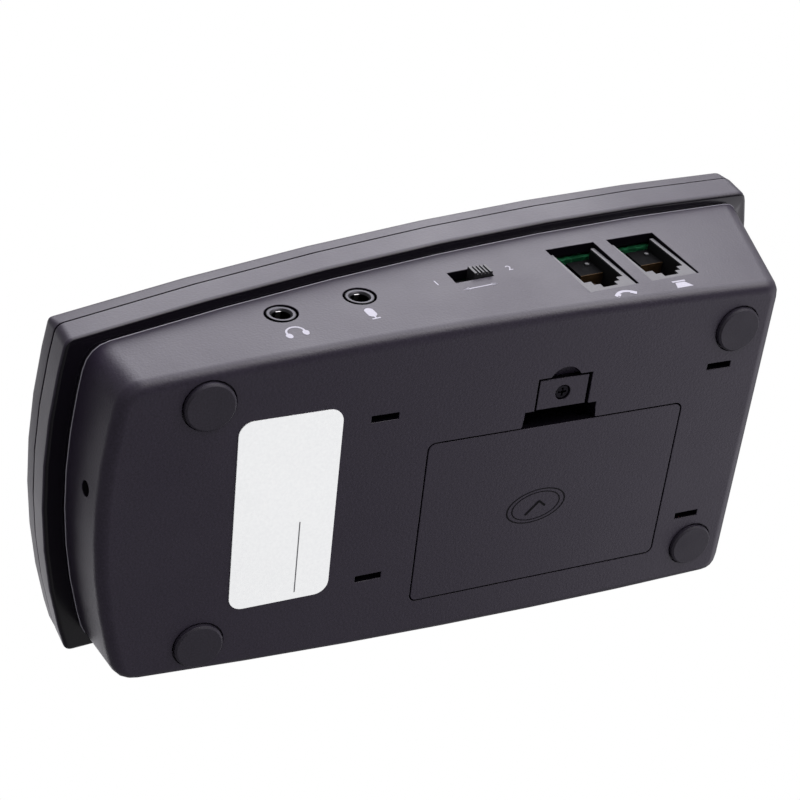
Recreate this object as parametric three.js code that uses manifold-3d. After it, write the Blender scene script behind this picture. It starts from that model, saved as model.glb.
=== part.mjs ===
// Telephone call recorder: a wedge-shaped desk box that stands on four round feet.
// Millimetres, +Z up, +Y towards the high rear end, +X towards the wall with the sockets.
// The origin is under the middle of the housing, on the plane that the feet stand on.

import * as THREE from 'three';
import { LoftGeometry } from 'three/addons/geometries/LoftGeometry.js';
import { mergeVertices } from 'three/addons/utils/BufferGeometryUtils.js';
import Module from 'manifold-3d';

const wasm = await Module();
wasm.setup();

// Driving dimensions: plan of the rim, the widest outline seen from above
const rimLength = 180.3;
const rimHalfWidth = 41.25;
const rimWidestY = 29.9;
const rimSideRadius = 1300;
const rimFrontRadius = 135;
const rimRearRadius = 150;
const rimFrontCorner = 1.6;
const rimRearCorner = 2.5;
const rimRearLeanShare = 0.2;
const coverFrontLeanShare = 0.2;
const leastCornerShare = 0.25;

// Plan of the bottom shell at its underside, and how far its walls lean outwards
const rimOverhang = 3.15;
const shellHalfWidth = rimHalfWidth - rimOverhang;
const shellFrontY = -82.95;
const shellRearY = 65.65;
const shellWidestY = 27.6;
const shellSideRadius = 1373;
const shellFrontRadius = 123;
const shellFrontCorner = 4.4;
const shellRearCorner = 4;
const sideLeanShare = 0.0285;
const frontLeanShare = 0.13;
const rearLeanShare = 0.38;
const underEdgeRadius = 2.4;
const shellWall = 2.2;
const shellFloor = 2.2;
const shellInnerEdge = 0.8;

// Side profile: the long lines follow one arch, highest behind the rear end, and draw apart rearwards
const footProud = 1;
const seamHeight = 28.57;
const archRadius = 1650;
const spreadShare = 0.0097;
const archApexY = 217.45;

// Cross-section of the rim frame and the top cover, as heights above the seam
const seamGap = 0.3;
const seamChamfer = 0.35;
const seamProud = 0.1;
const rimUndersideLift = 0.7;
const rimEdgeRadius = 1;
const bandHeight = 7.4;
const bandWall = 2;
const flangeThickness = 2.6;
const partingGap = 0.6;
const coverInset = 0.15;
const coverSideHeight = 3.4;
const coverSideLean = 0.5;
const coverEdgeRadius = 2;
const coverCrown = 0.5;
const coverFlatInset = 9;
const coverWall = 2;
const lipGap = 0.4;
const lipThickness = 1.6;
const lipDepth = 2.6;

// Clearances
const fit = 0.3;
const overrun = 5;

// Feet and the housing screws above them
const footRadius = 5.1;
const footEdge = 0.4;
const footRecess = 0.8;
const footSpreadX = 27.9;
const frontFootY = -61.95;
const rearFootY = 56.25;
const shellBossRadius = 4.4;
const shellBossBore = 3.1;
const bossDrop = 4;
const bossWeb = 3;
const coverBossRadius = 3.2;
const screwHeadRadius = 2.7;
const screwHeadHeight = 2;
const screwShankRadius = 1.1;
const screwBite = 8;

// Battery door, its latch tongue and its screw
const doorX0 = -27.9;
const doorX1 = 11.1;
const doorY = 15.45;
const doorLength = 60.4;
const doorThickness = 2;
const doorCorner = 1.5;
const hookSpread = 18;
const hookWidth = 6;
const hookReach = 2.2;
const hookThickness = 1.2;
const latchY = 15.1;
const latchSlotWidth = 17;
const tongueWidth = 11.6;
const tongueGap = 0.6;
const tabX0 = 15.1;
const tabX1 = 22;
const tabThickness = 1.4;
const tabRecess = 0.3;
const tongueRise = 9;
const tongueLeg = 1;
const tongueWindow = 6.4;
const thumbRadius = 4;
const thumbX = 20.7;
const padMargin = 4;
const padHeight = 4.4;
const padHoleRadius = 1.5;
const doorScrewX = 18.5;
const doorScrewHeadRadius = 1.45;
const doorScrewHeadHeight = 0.7;
const doorScrewShankRadius = 0.85;
const doorScrewLength = 5;
const crossWidth = 0.5;
const crossDepth = 0.4;
const crossReachShare = 0.67;

// Battery box and two AA cells
const batteryRadius = 7.1;
const batteryLength = 49.2;
const batteryNubRadius = 2.75;
const batteryNubLength = 1.3;
const batteryShoulder = 0.7;
const batteryGap = 0.6;
const batteryRib = 1.6;
const batteryBoxLength = 58;
const batteryBoxWall = 2.2;
const batteryRoof = 1.4;
const batteryRibDrop = 11;
const contactThickness = 0.5;
const contactWidth = 10;
const springWire = 0.4;
const springWideRadius = 4.2;
const springNarrowRadius = 3;

// Main board: it climbs with the sockets that hang under it
const boardHeight = 21.71;
const boardSlopeShare = 0.085;
const boardThickness = 1.6;
const boardFrontY = -53.3;
const boardRearY = 68.7;
const boardEdgeGap = 0.5;
const boardLeftX = -32;
const postRadius = 3;
const postScrewRadius = 1.2;
const postScrewLength = 6;
const postScrewHeadRadius = 2.4;
const postScrewHeadHeight = 1.5;
const frontPostY = -47.3;
const rearPostY = 60.7;
const frontPostXs = [-26, 17];
const rearPostXs = [-20, 20];

// Audio jacks
const phonesJackY = -42.35;
const microphoneJackY = -25.15;
const jackDrop = 2.78;
const jackWidth = 6.4;
const jackTop = 2.2;
const jackBottom = 2.6;
const jackDepth = 12;
const jackBore = 1.8;
const jackNoseRadius = 3;
const jackNoseMouth = 2.3;
const jackNoseChamfer = 0.6;
const jackHoleRadius = 3.4;
const noseRecess = 0.1;

// Source switch
const switchY = 0.42;
const switchDrop = 3.1;
const switchWindowWidth = 9.15;
const switchWindowHeight = 4.3;
const switchBodyWidth = 12;
const switchBodyDepth = 8;
const switchBodyHeight = 5.2;
const switchChannelHeight = 2.6;
const switchChannelDepth = 4;
const knobWidth = 4.2;
const knobHeight = 3.3;
const knobProud = 0.9;
const knobStem = 1.6;
const knobEndGap = 0.25;
const knobRidges = 5;
const knobNotch = 0.4;

// Telephone sockets
const handsetSocketY = 27.4;
const socketPitch = 15.9;
const socketHoleWidth = 12.4;
const socketHoleHeight = 18.8;
const socketHoleMiddle = 15.5;
const socketRecess = 0.35;
const socketDepth = 15;
const socketSideWall = 1;
const socketComb = 4.1;
const combWidths = [6.4, 3.6];
const combStep = 1.5;
const plugHeight = 6.6;
const plugDepth = 12.8;
const carrierSetback = 4.4;
const carrierNarrowSetback = 2.4;
const carrierNotch = 3.4;
const contactWire = 0.5;
const contactDrop = 1;
const contactCount = 4;

// Microphone port in the front wall
const portX = 9.6;
const portHeight = 6.6;
const portRadius = 1.6;
const bootRadius = 3.9;
const bootLength = 5;
const capsuleRadius = 2.9;
const capsuleLength = 4.4;

// Vent slots in the floor
const ventLength = 6;
const ventWidth = 1.55;
const ventSpreadX = 19.3;
const ventYs = [-25.35, 53.5];

// Blank label on the underside
const labelX0 = -20.8;
const labelX1 = 23.2;
const labelY0 = -55.95;
const labelY1 = -34.45;
const labelCorner = 3;
const labelThickness = 0.2;

// Display, keys, lamp and loudspeaker under the top cover
const lensY = 48.7;
const lensWidth = 52;
const lensLength = 33;
const lensThickness = 1;
const lensCorner = 2.5;
const viewWidth = 45;
const viewLength = 25;
const displayWidth = 48;
const displayLength = 29;
const displayThickness = 4;
const displayBezel = 2;
const displayStep = 0.6;
const keyRowYs = [21.7, 8.7, -4.3];
const keyPitchX = 21;
const keyWidth = 15;
const keyLength = 7.6;
const keyCorner = 2.2;
const keyProud = 1.3;
const keyEdge = 0.6;
const keyEdgeDropShare = 0.25;
const keyFlange = 0.9;
const keyFlangeThickness = 0.8;
const keyFoot = 1.2;
const domeHeight = 0.5;
const domeRadius = 3;
const domeTopShare = 0.67;
const matThickness = 0.9;
const matMargin = 3;
const controlY = 24.7;
const controlHalfWidth = 33;
const controlFrontY = -16.3;
const controlRearY = 67.7;
const controlThickness = 1.2;
const controlDepth = 7.4;
const stakeRadius = 2.4;
const stakePin = 1.2;
const stakeSpreadX = 30;
const stakeYs = [-12.9, 40.7];
const lampY = 72.7;
const lampRadius = 2;
const lampFlange = 2.9;
const lampLength = 6;
const lampDome = 0.5;
const lampDomeShares = [0.75, 0.67];
const speakerY = -47.3;
const speakerRadius = 20;
const speakerDepth = 9;
const magnetRadius = 9;
const magnetDepth = 3;
const speakerStep = 1;
const slotCount = 7;
const slotPitch = 4.8;
const slotWidth = 1.8;
const slotFieldRadius = 17.5;

// Parts on the main board
const transformerSize = new THREE.Vector3(13, 16, 10);
const transformerFrame = 3;
const chipSize = new THREE.Vector3(13, 13, 1.6);
const capacitorRadius = 4;
const capacitorHeight = 9;
const capacitorEdge = 0.5;
const transformerX = 14;
const transformerY = 32.7;
const chipX = -6;
const chipY = -25.3;
const capacitorX = -24;
const capacitorY = 6.7;

// How finely curves are cut
const sideSteps = 6;
const endSteps = 7;
const cornerSteps = 4;
const keyCornerSteps = 2;
const roundSteps = 4;
const circleSteps = 24;
const smallCircleSteps = 12;
const domeSteps = 8;

const shellBottomZ = footProud;
const rimFrontY = -rimLength / 2;
const rimRearY = rimLength / 2;
const partingLift = rimUndersideLift + bandHeight;
const coverFoot = partingLift + partingGap;
const coverShoulder = coverFoot + coverSideHeight;
const coverTopLift = coverShoulder + coverEdgeRadius + coverCrown;
const boardAngle = Math.atan(boardSlopeShare);
const quarter = Math.PI / 2;

const recorder = new THREE.Group();

// Heights of the arch, the seam, the top surface and the board's underside along the recorder
function archRise(y) {
  const reach = archRadius ** 2;
  return Math.sqrt(reach - (y - archApexY) ** 2) - Math.sqrt(reach - archApexY ** 2);
}

function seamZ(y) {
  return shellBottomZ + seamHeight + archRise(y);
}

function liftedZ(y, lift) {
  return seamZ(y) + lift + spreadShare * y * Math.min(lift / partingLift, 1);
}

function coverTopZ(y) {
  return liftedZ(y, coverTopLift);
}

function boardZ(y) {
  return shellBottomZ + boardHeight + boardSlopeShare * y;
}

// A mesh without loose or collapsed triangles, ready to be joined or cut
function weld(geometry) {
  const bare = new THREE.BufferGeometry().copy(geometry);
  bare.deleteAttribute('normal');
  bare.deleteAttribute('uv');
  const merged = mergeVertices(bare);
  const kept = [];
  const index = merged.index.array;
  for (let i = 0; i < index.length; i += 3) {
    const [a, b, c] = [index[i], index[i + 1], index[i + 2]];
    if (a !== b && b !== c && c !== a) {
      kept.push(a, b, c);
    }
  }
  merged.setIndex(kept);
  return merged;
}

function solid(geometry) {
  const merged = weld(geometry);
  const vertProperties = new Float32Array(merged.attributes.position.array);
  const triVerts = new Uint32Array(merged.index.array);
  return new wasm.Manifold(new wasm.Mesh({ numProp: 3, vertProperties, triVerts }));
}

function geometryOf(body) {
  const mesh = body.getMesh();
  const geometry = new THREE.BufferGeometry();
  geometry.setAttribute('position', new THREE.BufferAttribute(new Float32Array(mesh.vertProperties), 3));
  geometry.setIndex(new THREE.BufferAttribute(new Uint32Array(mesh.triVerts), 1));
  geometry.computeVertexNormals();
  return geometry;
}

// The first shape with the others joined on, and the first shape with the others cut away
function joined(base, additions) {
  return additions.reduce((body, shape) => body.add(solid(shape)), base);
}

function cutBy(base, tools) {
  return tools.reduce((body, shape) => body.subtract(solid(shape)), base);
}

function piece(name, geometry, material, frame = new THREE.Matrix4()) {
  const mesh = new THREE.Mesh(geometry, material);
  mesh.name = name;
  mesh.applyMatrix4(frame);
  recorder.add(mesh);
  return mesh;
}

// Frames: on the tilted main board, and on the top cover where the arch reaches y
function boardFrame() {
  const frame = new THREE.Matrix4().makeRotationX(boardAngle);
  return frame.setPosition(0, 0, boardZ(0));
}

function coverFrame(y) {
  const archSlope = Math.asin((archApexY - y) / archRadius);
  const frame = new THREE.Matrix4().makeRotationX(Math.atan(Math.tan(archSlope) + spreadShare));
  return frame.setPosition(0, y, coverTopZ(y));
}

// A box between two corners, a cylinder along +Z and a hole shape along +X or +Y
function block(x0, x1, y0, y1, z0, z1) {
  const geometry = new THREE.BoxGeometry(x1 - x0, y1 - y0, z1 - z0);
  return geometry.translate((x0 + x1) / 2, (y0 + y1) / 2, (z0 + z1) / 2);
}

function cylinder(radius, x, y, z0, z1, steps = circleSteps) {
  const geometry = new THREE.CylinderGeometry(radius, radius, z1 - z0, steps);
  return geometry.rotateX(quarter).translate(x, y, (z0 + z1) / 2);
}

function cylinderAlongX(radius, x0, x1, y, z, steps = circleSteps) {
  const geometry = new THREE.CylinderGeometry(radius, radius, x1 - x0, steps);
  return geometry.rotateZ(quarter).translate((x0 + x1) / 2, y, z);
}

function cylinderAlongY(radius, x, y0, y1, z, steps = smallCircleSteps) {
  const geometry = new THREE.CylinderGeometry(radius, radius, y1 - y0, steps);
  return geometry.translate(x, (y0 + y1) / 2, z);
}

// A round solid about +Z from (radius, height) pairs, listed from the bottom of the axis upwards
function turned(profile, steps = circleSteps) {
  const points = profile.map(([radius, height]) => new THREE.Vector2(radius, height));
  return new THREE.LatheGeometry(points, steps).rotateX(quarter);
}

function roundedRectangle(width, length, radius) {
  const [x, y] = [width / 2, length / 2];
  const shape = new THREE.Shape();
  shape.moveTo(x - radius, -y);
  shape.absarc(x - radius, radius - y, radius, -quarter, 0, false);
  shape.absarc(x - radius, y - radius, radius, 0, quarter, false);
  shape.absarc(radius - x, y - radius, radius, quarter, 2 * quarter, false);
  shape.absarc(radius - x, radius - y, radius, 2 * quarter, 3 * quarter, false);
  return shape;
}

function plate(shape, z0, z1, curveSegments = cornerSteps) {
  const geometry = new THREE.ExtrudeGeometry(shape, {
    depth: z1 - z0,
    bevelEnabled: false,
    curveSegments,
  });
  return geometry.translate(0, 0, z0);
}

// A four-cornered hole through the socket wall whose level edges climb with the board
function climbingHole(y, width, z, height, x0, x1) {
  const climb = (boardSlopeShare * width) / 2;
  const [w, h] = [width / 2, height / 2];
  const shape = new THREE.Shape();
  shape.moveTo(-w, -h - climb);
  shape.lineTo(w, -h + climb);
  shape.lineTo(w, h + climb);
  shape.lineTo(-w, h - climb);
  const geometry = new THREE.ExtrudeGeometry(shape, { depth: x1 - x0, bevelEnabled: false });
  const [toY, toZ, toX] = [new THREE.Vector3(0, 1), new THREE.Vector3(0, 0, 1), new THREE.Vector3(1)];
  geometry.applyMatrix4(new THREE.Matrix4().makeBasis(toY, toZ, toX));
  return geometry.translate(x0, y, z);
}

// Plans: the outline from above at a given inset, counterclockwise from the right front corner
function rimPlan(lift) {
  const drop = coverShoulder - Math.min(lift, coverShoulder);
  const frontShift = coverFrontLeanShare * Math.min(drop, coverShoulder - partingLift);
  return {
    halfWidth: rimHalfWidth,
    widestY: rimWidestY,
    sideRadius: rimSideRadius,
    frontY: rimFrontY + frontShift,
    frontRadius: rimFrontRadius,
    frontCorner: rimFrontCorner,
    rearY: rimRearY - rimRearLeanShare * drop,
    rearRadius: rimRearRadius,
    rearCorner: rimRearCorner,
  };
}

function shellPlan(height) {
  return {
    halfWidth: shellHalfWidth + sideLeanShare * height,
    widestY: shellWidestY,
    sideRadius: shellSideRadius,
    frontY: shellFrontY - frontLeanShare * height,
    frontRadius: shellFrontRadius,
    frontCorner: shellFrontCorner,
    rearY: shellRearY + rearLeanShare * height,
    rearRadius: Infinity,
    rearCorner: shellRearCorner,
  };
}

function meeting(halfWidth, sideX, endY) {
  let x = halfWidth;
  for (let pass = 0; pass < 8; pass += 1) {
    x = sideX(endY(x));
  }
  return new THREE.Vector2(x, endY(x));
}

function planOutline(plan, inset) {
  const halfWidth = plan.halfWidth - inset;
  const sideX = (y) => halfWidth - (y - plan.widestY) ** 2 / (2 * plan.sideRadius);
  const frontY = (x) => plan.frontY + inset + x ** 2 / (2 * plan.frontRadius);
  const rearY = (x) => plan.rearY - inset - x ** 2 / (2 * plan.rearRadius);
  const front = meeting(halfWidth, sideX, frontY);
  const rear = meeting(halfWidth, sideX, rearY);
  const frontCut = Math.max(plan.frontCorner - inset, plan.frontCorner * leastCornerShare);
  const rearCut = Math.max(plan.rearCorner - inset, plan.rearCorner * leastCornerShare);
  const onSide = (y) => new THREE.Vector2(sideX(y), y);
  const onFront = (x) => new THREE.Vector2(x, frontY(x));
  const onRear = (x) => new THREE.Vector2(x, rearY(x));
  const right = [];
  for (let step = 0; step < endSteps; step += 2) {
    right.push(onFront(((front.x - frontCut) * step) / endSteps));
  }
  const corner = (from, through, to) => {
    const curve = new THREE.QuadraticBezierCurve(from, through, to);
    right.push(...curve.getPoints(cornerSteps));
  };
  corner(onFront(front.x - frontCut), front, onSide(front.y + frontCut));
  const [y0, y1] = [front.y + frontCut, rear.y - rearCut];
  for (let step = 1; step < sideSteps; step += 1) {
    right.push(onSide(THREE.MathUtils.lerp(y0, y1, step / sideSteps)));
  }
  corner(onSide(y1), rear, onRear(rear.x - rearCut));
  for (let step = endSteps - 1; step > 0; step -= 2) {
    right.push(onRear(((rear.x - rearCut) * step) / endSteps));
  }
  const middleRear = onRear(0);
  const left = right.slice(1).reverse().map((point) => new THREE.Vector2(-point.x, point.y));
  return [...right, middleRear, ...left];
}

// Rings of points at a height, at the seam's arch, and closed to a point in the middle
function levelRing(outline, z) {
  return outline.map((point) => new THREE.Vector3(point.x, point.y, z));
}

function archRing(outline, lift) {
  return outline.map((point) => new THREE.Vector3(point.x, point.y, liftedZ(point.y, lift)));
}

function rimRing(inset, lift) {
  return archRing(planOutline(rimPlan(lift), inset), lift);
}

function shellRing(inset, height) {
  return levelRing(planOutline(shellPlan(height), inset), shellBottomZ + height);
}

function shellSeamRing(inset, lift) {
  const start = planOutline(shellPlan(seamHeight), inset);
  const settled = start.map((point, index) => {
    let place = point;
    for (let pass = 0; pass < 4; pass += 1) {
      place = planOutline(shellPlan(seamHeight + archRise(place.y)), inset)[index];
    }
    return place;
  });
  return archRing(settled, lift);
}

function pole(ring, y, z) {
  return ring.map(() => new THREE.Vector3(0, y, z));
}

// Rings that carry an arched surface from its edge to its middle
function domeRings(inset, lift) {
  const outline = planOutline(rimPlan(lift), inset);
  const shrinkShares = [1, 0.5];
  const rings = shrinkShares.map((share) => {
    const smaller = outline.map((point) => new THREE.Vector2(point.x * share, point.y * share));
    return archRing(smaller, lift);
  });
  return [...rings, pole(outline, 0, liftedZ(0, lift))];
}

// Materials
function coloured(color, roughness, metalness = 0) {
  return new THREE.MeshStandardMaterial({ color, roughness, metalness });
}

function housingPlastic() {
  return coloured(0x34323a, 0.62);
}

function darkPlastic() {
  return coloured(0x17171a, 0.5);
}

function keyPlastic() {
  return coloured(0x5a5a62, 0.5);
}

function footRubber() {
  return coloured(0x2c2b31, 0.85);
}

function labelPaper() {
  return coloured(0xf4f5f6, 0.55);
}

function boardLaminate() {
  return coloured(0x1d5b35, 0.45);
}

function plainMetal() {
  return coloured(0xb9bbbf, 0.32, 0.9);
}

function goldMetal() {
  return coloured(0xd9a94a, 0.3, 0.9);
}

function siliconeRubber() {
  return coloured(0x9a9aa0, 0.7);
}

function clearLens() {
  const material = coloured(0x20262b, 0.1);
  material.transparent = true;
  material.opacity = 0.5;
  return material;
}

// Bottom shell: the tub that everything hangs in, with its floor, walls, bosses and openings
function shellTub() {
  const rings = [];
  const floorRing = shellRing(underEdgeRadius, 0);
  rings.push(pole(floorRing, 0, shellBottomZ));
  for (let step = 0; step <= roundSteps; step += 1) {
    const angle = (quarter * step) / roundSteps;
    const inset = underEdgeRadius * (1 - Math.sin(angle));
    rings.push(shellRing(inset, underEdgeRadius * (1 - Math.cos(angle))));
  }
  rings.push(shellSeamRing(0, 0));
  rings.push(shellSeamRing(shellWall, 0));
  rings.push(shellRing(shellWall, shellFloor + shellInnerEdge));
  rings.push(shellRing(shellWall + shellInnerEdge, shellFloor));
  rings.push(pole(floorRing, 0, shellBottomZ + shellFloor));
  return solid(new LoftGeometry(rings));
}

function footPlaces() {
  const names = ['front_left', 'front_right', 'rear_left', 'rear_right'];
  const ys = [frontFootY, frontFootY, rearFootY, rearFootY];
  const xs = [-footSpreadX, footSpreadX, -footSpreadX, footSpreadX];
  return names.map((name, index) => ({ name, x: xs[index], y: ys[index] }));
}

function bossTopZ(y) {
  return seamZ(y) - bossDrop;
}

const batteryBox = {
  x0: doorX0 + 2 * fit + fit,
  x1: doorX1 - batteryBoxWall - tongueLeg,
  y0: doorY - batteryBoxLength / 2,
  y1: doorY + batteryBoxLength / 2,
  bottom: shellBottomZ + doorThickness + fit,
  top: shellBottomZ + doorThickness + batteryGap + 2 * batteryRadius + batteryGap,
};

function batteryBoxBlock() {
  const box = batteryBox;
  const [x0, x1] = [box.x0 - batteryBoxWall, doorX1 + batteryBoxWall - tongueLeg];
  const [y0, y1] = [box.y0 - batteryBoxWall, box.y1 + batteryBoxWall];
  const bottom = shellBottomZ + shellFloor / 2;
  return block(x0, x1, y0, y1, bottom, box.top + batteryRoof);
}

function tongueShaft() {
  const box = batteryBox;
  const half = latchSlotWidth / 2 + fit;
  const [x0, x1] = [box.x1 + batteryBoxWall - fit, doorX1 + batteryBoxWall];
  return block(x0, x1, latchY - half, latchY + half, shellBottomZ, box.top + batteryRoof + overrun);
}

function batteryBoxCuts() {
  const box = batteryBox;
  const ribX = (box.x0 + box.x1) / 2;
  const [left, right] = [ribX - batteryRib / 2, ribX + batteryRib / 2];
  const ribBottom = box.top - batteryRibDrop;
  return [
    block(box.x0, left, box.y0, box.y1, shellBottomZ, box.top),
    block(right, box.x1, box.y0, box.y1, shellBottomZ, box.top),
    block(box.x0, box.x1, box.y0, box.y1, shellBottomZ, ribBottom),
    tongueShaft(),
  ];
}

function doorOpening() {
  const outline = roundedRectangle(doorX1 - doorX0 + 2 * fit, doorLength + 2 * fit, doorCorner + fit);
  const opening = plate(outline, -overrun, shellBottomZ + doorThickness + fit);
  return opening.translate((doorX0 + doorX1) / 2, doorY, 0);
}

function hookPlaces() {
  return [doorY - hookSpread, doorY + hookSpread];
}

function hookWindows() {
  const reach = Math.hypot(hookReach + fit, doorThickness + 2 * fit + hookThickness);
  const x0 = doorX0 - hookReach - 2 * fit;
  const [bottom, top] = [shellBottomZ + shellFloor, shellBottomZ + reach + 2 * fit];
  const half = hookWidth / 2 + fit;
  return hookPlaces().map((y) => block(x0, batteryBox.x0 + fit, y - half, y + half, bottom, top));
}

function latchSlots() {
  const wide = latchSlotWidth / 2;
  const narrow = tongueWidth / 2 + tongueGap;
  const padX = tabX0 + tongueLeg + 3 * fit + fit / 2;
  const top = shellBottomZ + shellFloor + overrun;
  return [
    block(doorX1, tabX0, latchY - wide, latchY + wide, -overrun, top),
    block(doorX1, padX, latchY - narrow, latchY + narrow, -overrun, top),
  ];
}

function latchPad() {
  const narrow = tongueWidth / 2 + tongueGap + padMargin;
  const padX = tabX0 + tongueLeg + 3 * fit + fit / 2;
  const top = shellBottomZ + padHeight;
  const tongueHalf = tongueWindow / 2 - tongueGap;
  return [
    block(padX, tabX1 + padMargin, latchY - narrow, latchY + narrow, shellBottomZ, top),
    block(tabX0 + tongueGap, padX + fit, latchY - tongueHalf, latchY + tongueHalf, shellBottomZ, top),
    cylinder(tongueHalf, doorScrewX, latchY, top - fit, top + doorScrewLength / 2, smallCircleSteps),
  ];
}

function latchRecess() {
  const narrow = tongueWidth / 2 + tongueGap;
  const top = shellBottomZ + tabRecess + tabThickness + fit;
  const roof = shellBottomZ + padHeight + doorScrewLength;
  return [
    block(tabX0, tabX1 + tongueGap, latchY - narrow, latchY + narrow, -overrun, top),
    cylinder(thumbRadius, thumbX, latchY, -overrun, top),
    cylinder(padHoleRadius, doorScrewX, latchY, -overrun, roof, smallCircleSteps),
  ];
}

function wallX(y, height) {
  return shellPlan(height).halfWidth - (y - shellWidestY) ** 2 / (2 * shellSideRadius);
}

function jackZ(y) {
  return boardZ(y) - jackDrop;
}

function switchZ() {
  return boardZ(switchY) - switchDrop;
}

function socketYs() {
  return [handsetSocketY, handsetSocketY + socketPitch];
}

function socketMiddleZ(y) {
  return shellBottomZ + socketHoleMiddle + boardSlopeShare * (y - handsetSocketY);
}

function sideWallHoles() {
  const [x0, x1] = [shellHalfWidth - 4 * shellWall, rimHalfWidth + overrun];
  const holes = [phonesJackY, microphoneJackY].map((y) => {
    return cylinderAlongX(jackHoleRadius, x0, x1, y, jackZ(y));
  });
  holes.push(climbingHole(switchY, switchWindowWidth, switchZ(), switchWindowHeight, x0, x1));
  for (const y of socketYs()) {
    holes.push(climbingHole(y, socketHoleWidth, socketMiddleZ(y), socketHoleHeight, x0, x1));
  }
  return holes;
}

function portY() {
  return shellPlan(portHeight).frontY + portX ** 2 / (2 * shellFrontRadius);
}

function frontPort() {
  const [y0, y1] = [portY() - overrun, portY() + 2 * shellWall];
  return cylinderAlongY(portRadius, portX, y0, y1, shellBottomZ + portHeight);
}

function ventSlots() {
  const tools = [];
  for (const y of ventYs) {
    for (const x of [-ventSpreadX, ventSpreadX]) {
      const [w, l] = [ventWidth / 2, ventLength / 2];
      tools.push(block(x - w, x + w, y - l, y + l, -overrun, shellBottomZ + shellFloor + overrun));
    }
  }
  return tools;
}

function boardPosts() {
  const posts = frontPostXs.map((x) => ({ x, y: frontPostY }));
  return posts.concat(rearPostXs.map((x) => ({ x, y: rearPostY })));
}

function postTopZ(y) {
  return boardZ(y - postRadius) - fit / 2;
}

function bottomShell() {
  const floorZ = shellBottomZ + shellFloor / 2;
  const feet = footPlaces();
  const bosses = feet.map(({ x, y }) => cylinder(shellBossRadius, x, y, floorZ, bossTopZ(y)));
  const posts = boardPosts().map(({ x, y }) => {
    return cylinder(postRadius, x, y, floorZ, postTopZ(y), smallCircleSteps);
  });
  const recesses = feet.map(({ x, y }) => {
    return cylinder(footRadius + fit, x, y, -overrun, shellBottomZ + footRecess);
  });
  const bores = feet.map(({ x, y }) => {
    return cylinder(shellBossBore, x, y, shellBottomZ, bossTopZ(y) - bossWeb, smallCircleSteps);
  });
  const shafts = feet.map(({ x, y }) => {
    return cylinder(screwShankRadius + fit, x, y, shellBottomZ, bossTopZ(y) + overrun, smallCircleSteps);
  });
  const postHoles = boardPosts().map(({ x, y }) => {
    const bottom = postTopZ(y) - postScrewLength;
    return cylinder(postScrewRadius + 2 * fit, x, y, bottom, postTopZ(y) + overrun, smallCircleSteps);
  });
  let body = joined(shellTub(), [...bosses, ...posts, batteryBoxBlock()]);
  body = cutBy(body, [...batteryBoxCuts(), doorOpening(), ...hookWindows(), ...latchSlots()]);
  body = joined(body, latchPad());
  body = cutBy(body, [...latchRecess(), ...recesses, ...bores, ...shafts, ...postHoles]);
  body = cutBy(body, [...sideWallHoles(), frontPort(), ...ventSlots()]);
  piece('bottom_shell', geometryOf(body), housingPlastic());
}

// Rim frame: the ring that overhangs the shell, with a rounded lower edge and a flange that sits on it
function rimFrame() {
  const rings = [
    shellSeamRing(shellWall, seamGap),
    shellSeamRing(seamChamfer, seamGap),
    shellSeamRing(-seamProud, seamGap + seamChamfer),
  ];
  for (let step = 0; step <= roundSteps; step += 1) {
    const angle = (quarter * step) / roundSteps;
    const lift = rimUndersideLift + rimEdgeRadius * (1 - Math.cos(angle));
    rings.push(rimRing(rimEdgeRadius * (1 - Math.sin(angle)), lift));
  }
  rings.push(rimRing(0, partingLift));
  rings.push(rimRing(bandWall, partingLift));
  rings.push(rimRing(bandWall, seamGap + flangeThickness));
  rings.push(shellSeamRing(shellWall, seamGap + flangeThickness));
  rings.push(rings[0].map((point) => point.clone()));
  piece('rim_frame', geometryOf(solid(new LoftGeometry(rings))), housingPlastic());
}

// Top cover: the lid above the parting line, with a lip that reaches down inside the rim frame
function coverShell() {
  const ceiling = coverTopLift - coverWall;
  const lipOuter = bandWall + lipGap;
  const lipInner = lipOuter + lipThickness;
  const rings = domeRings(coverFlatInset, ceiling).reverse();
  rings.push(rimRing(lipInner, ceiling - coverCrown));
  rings.push(rimRing(lipInner, coverFoot - lipDepth));
  rings.push(rimRing(lipOuter, coverFoot - lipDepth));
  rings.push(rimRing(lipOuter, coverFoot));
  rings.push(rimRing(coverInset, coverFoot));
  for (let step = 0; step <= roundSteps; step += 1) {
    const angle = (quarter * step) / roundSteps;
    const inset = coverInset + coverSideLean + coverEdgeRadius * (1 - Math.cos(angle));
    rings.push(rimRing(inset, coverShoulder + coverEdgeRadius * Math.sin(angle)));
  }
  rings.push(...domeRings(coverFlatInset, coverTopLift));
  return solid(new LoftGeometry(rings));
}

function keyPlaces() {
  const names = [
    ['previous_key', 'play_key', 'next_key'],
    ['menu_key', 'confirm_key', 'delete_key'],
    ['volume_down_key', 'record_key', 'volume_up_key'],
  ];
  const places = [];
  names.forEach((row, rowIndex) => {
    row.forEach((name, column) => {
      places.push({ name, x: (column - 1) * keyPitchX, y: keyRowYs[rowIndex] });
    });
  });
  return places;
}

function keyHoles() {
  return keyPlaces().map(({ x, y }) => {
    const shape = roundedRectangle(keyWidth + 2 * fit, keyLength + 2 * fit, keyCorner + fit);
    const hole = plate(shape, -coverWall - overrun, overrun, keyCornerSteps);
    return hole.translate(x, 0, 0).applyMatrix4(coverFrame(y));
  });
}

function lensRecess() {
  const recess = roundedRectangle(lensWidth + 2 * fit, lensLength + 2 * fit, lensCorner + fit);
  const view = block(-viewWidth / 2, viewWidth / 2, -viewLength / 2, viewLength / 2, -overrun, overrun);
  const frame = coverFrame(lensY);
  return [
    plate(recess, -lensThickness - fit, overrun).applyMatrix4(frame),
    view.applyMatrix4(frame),
  ];
}

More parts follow.
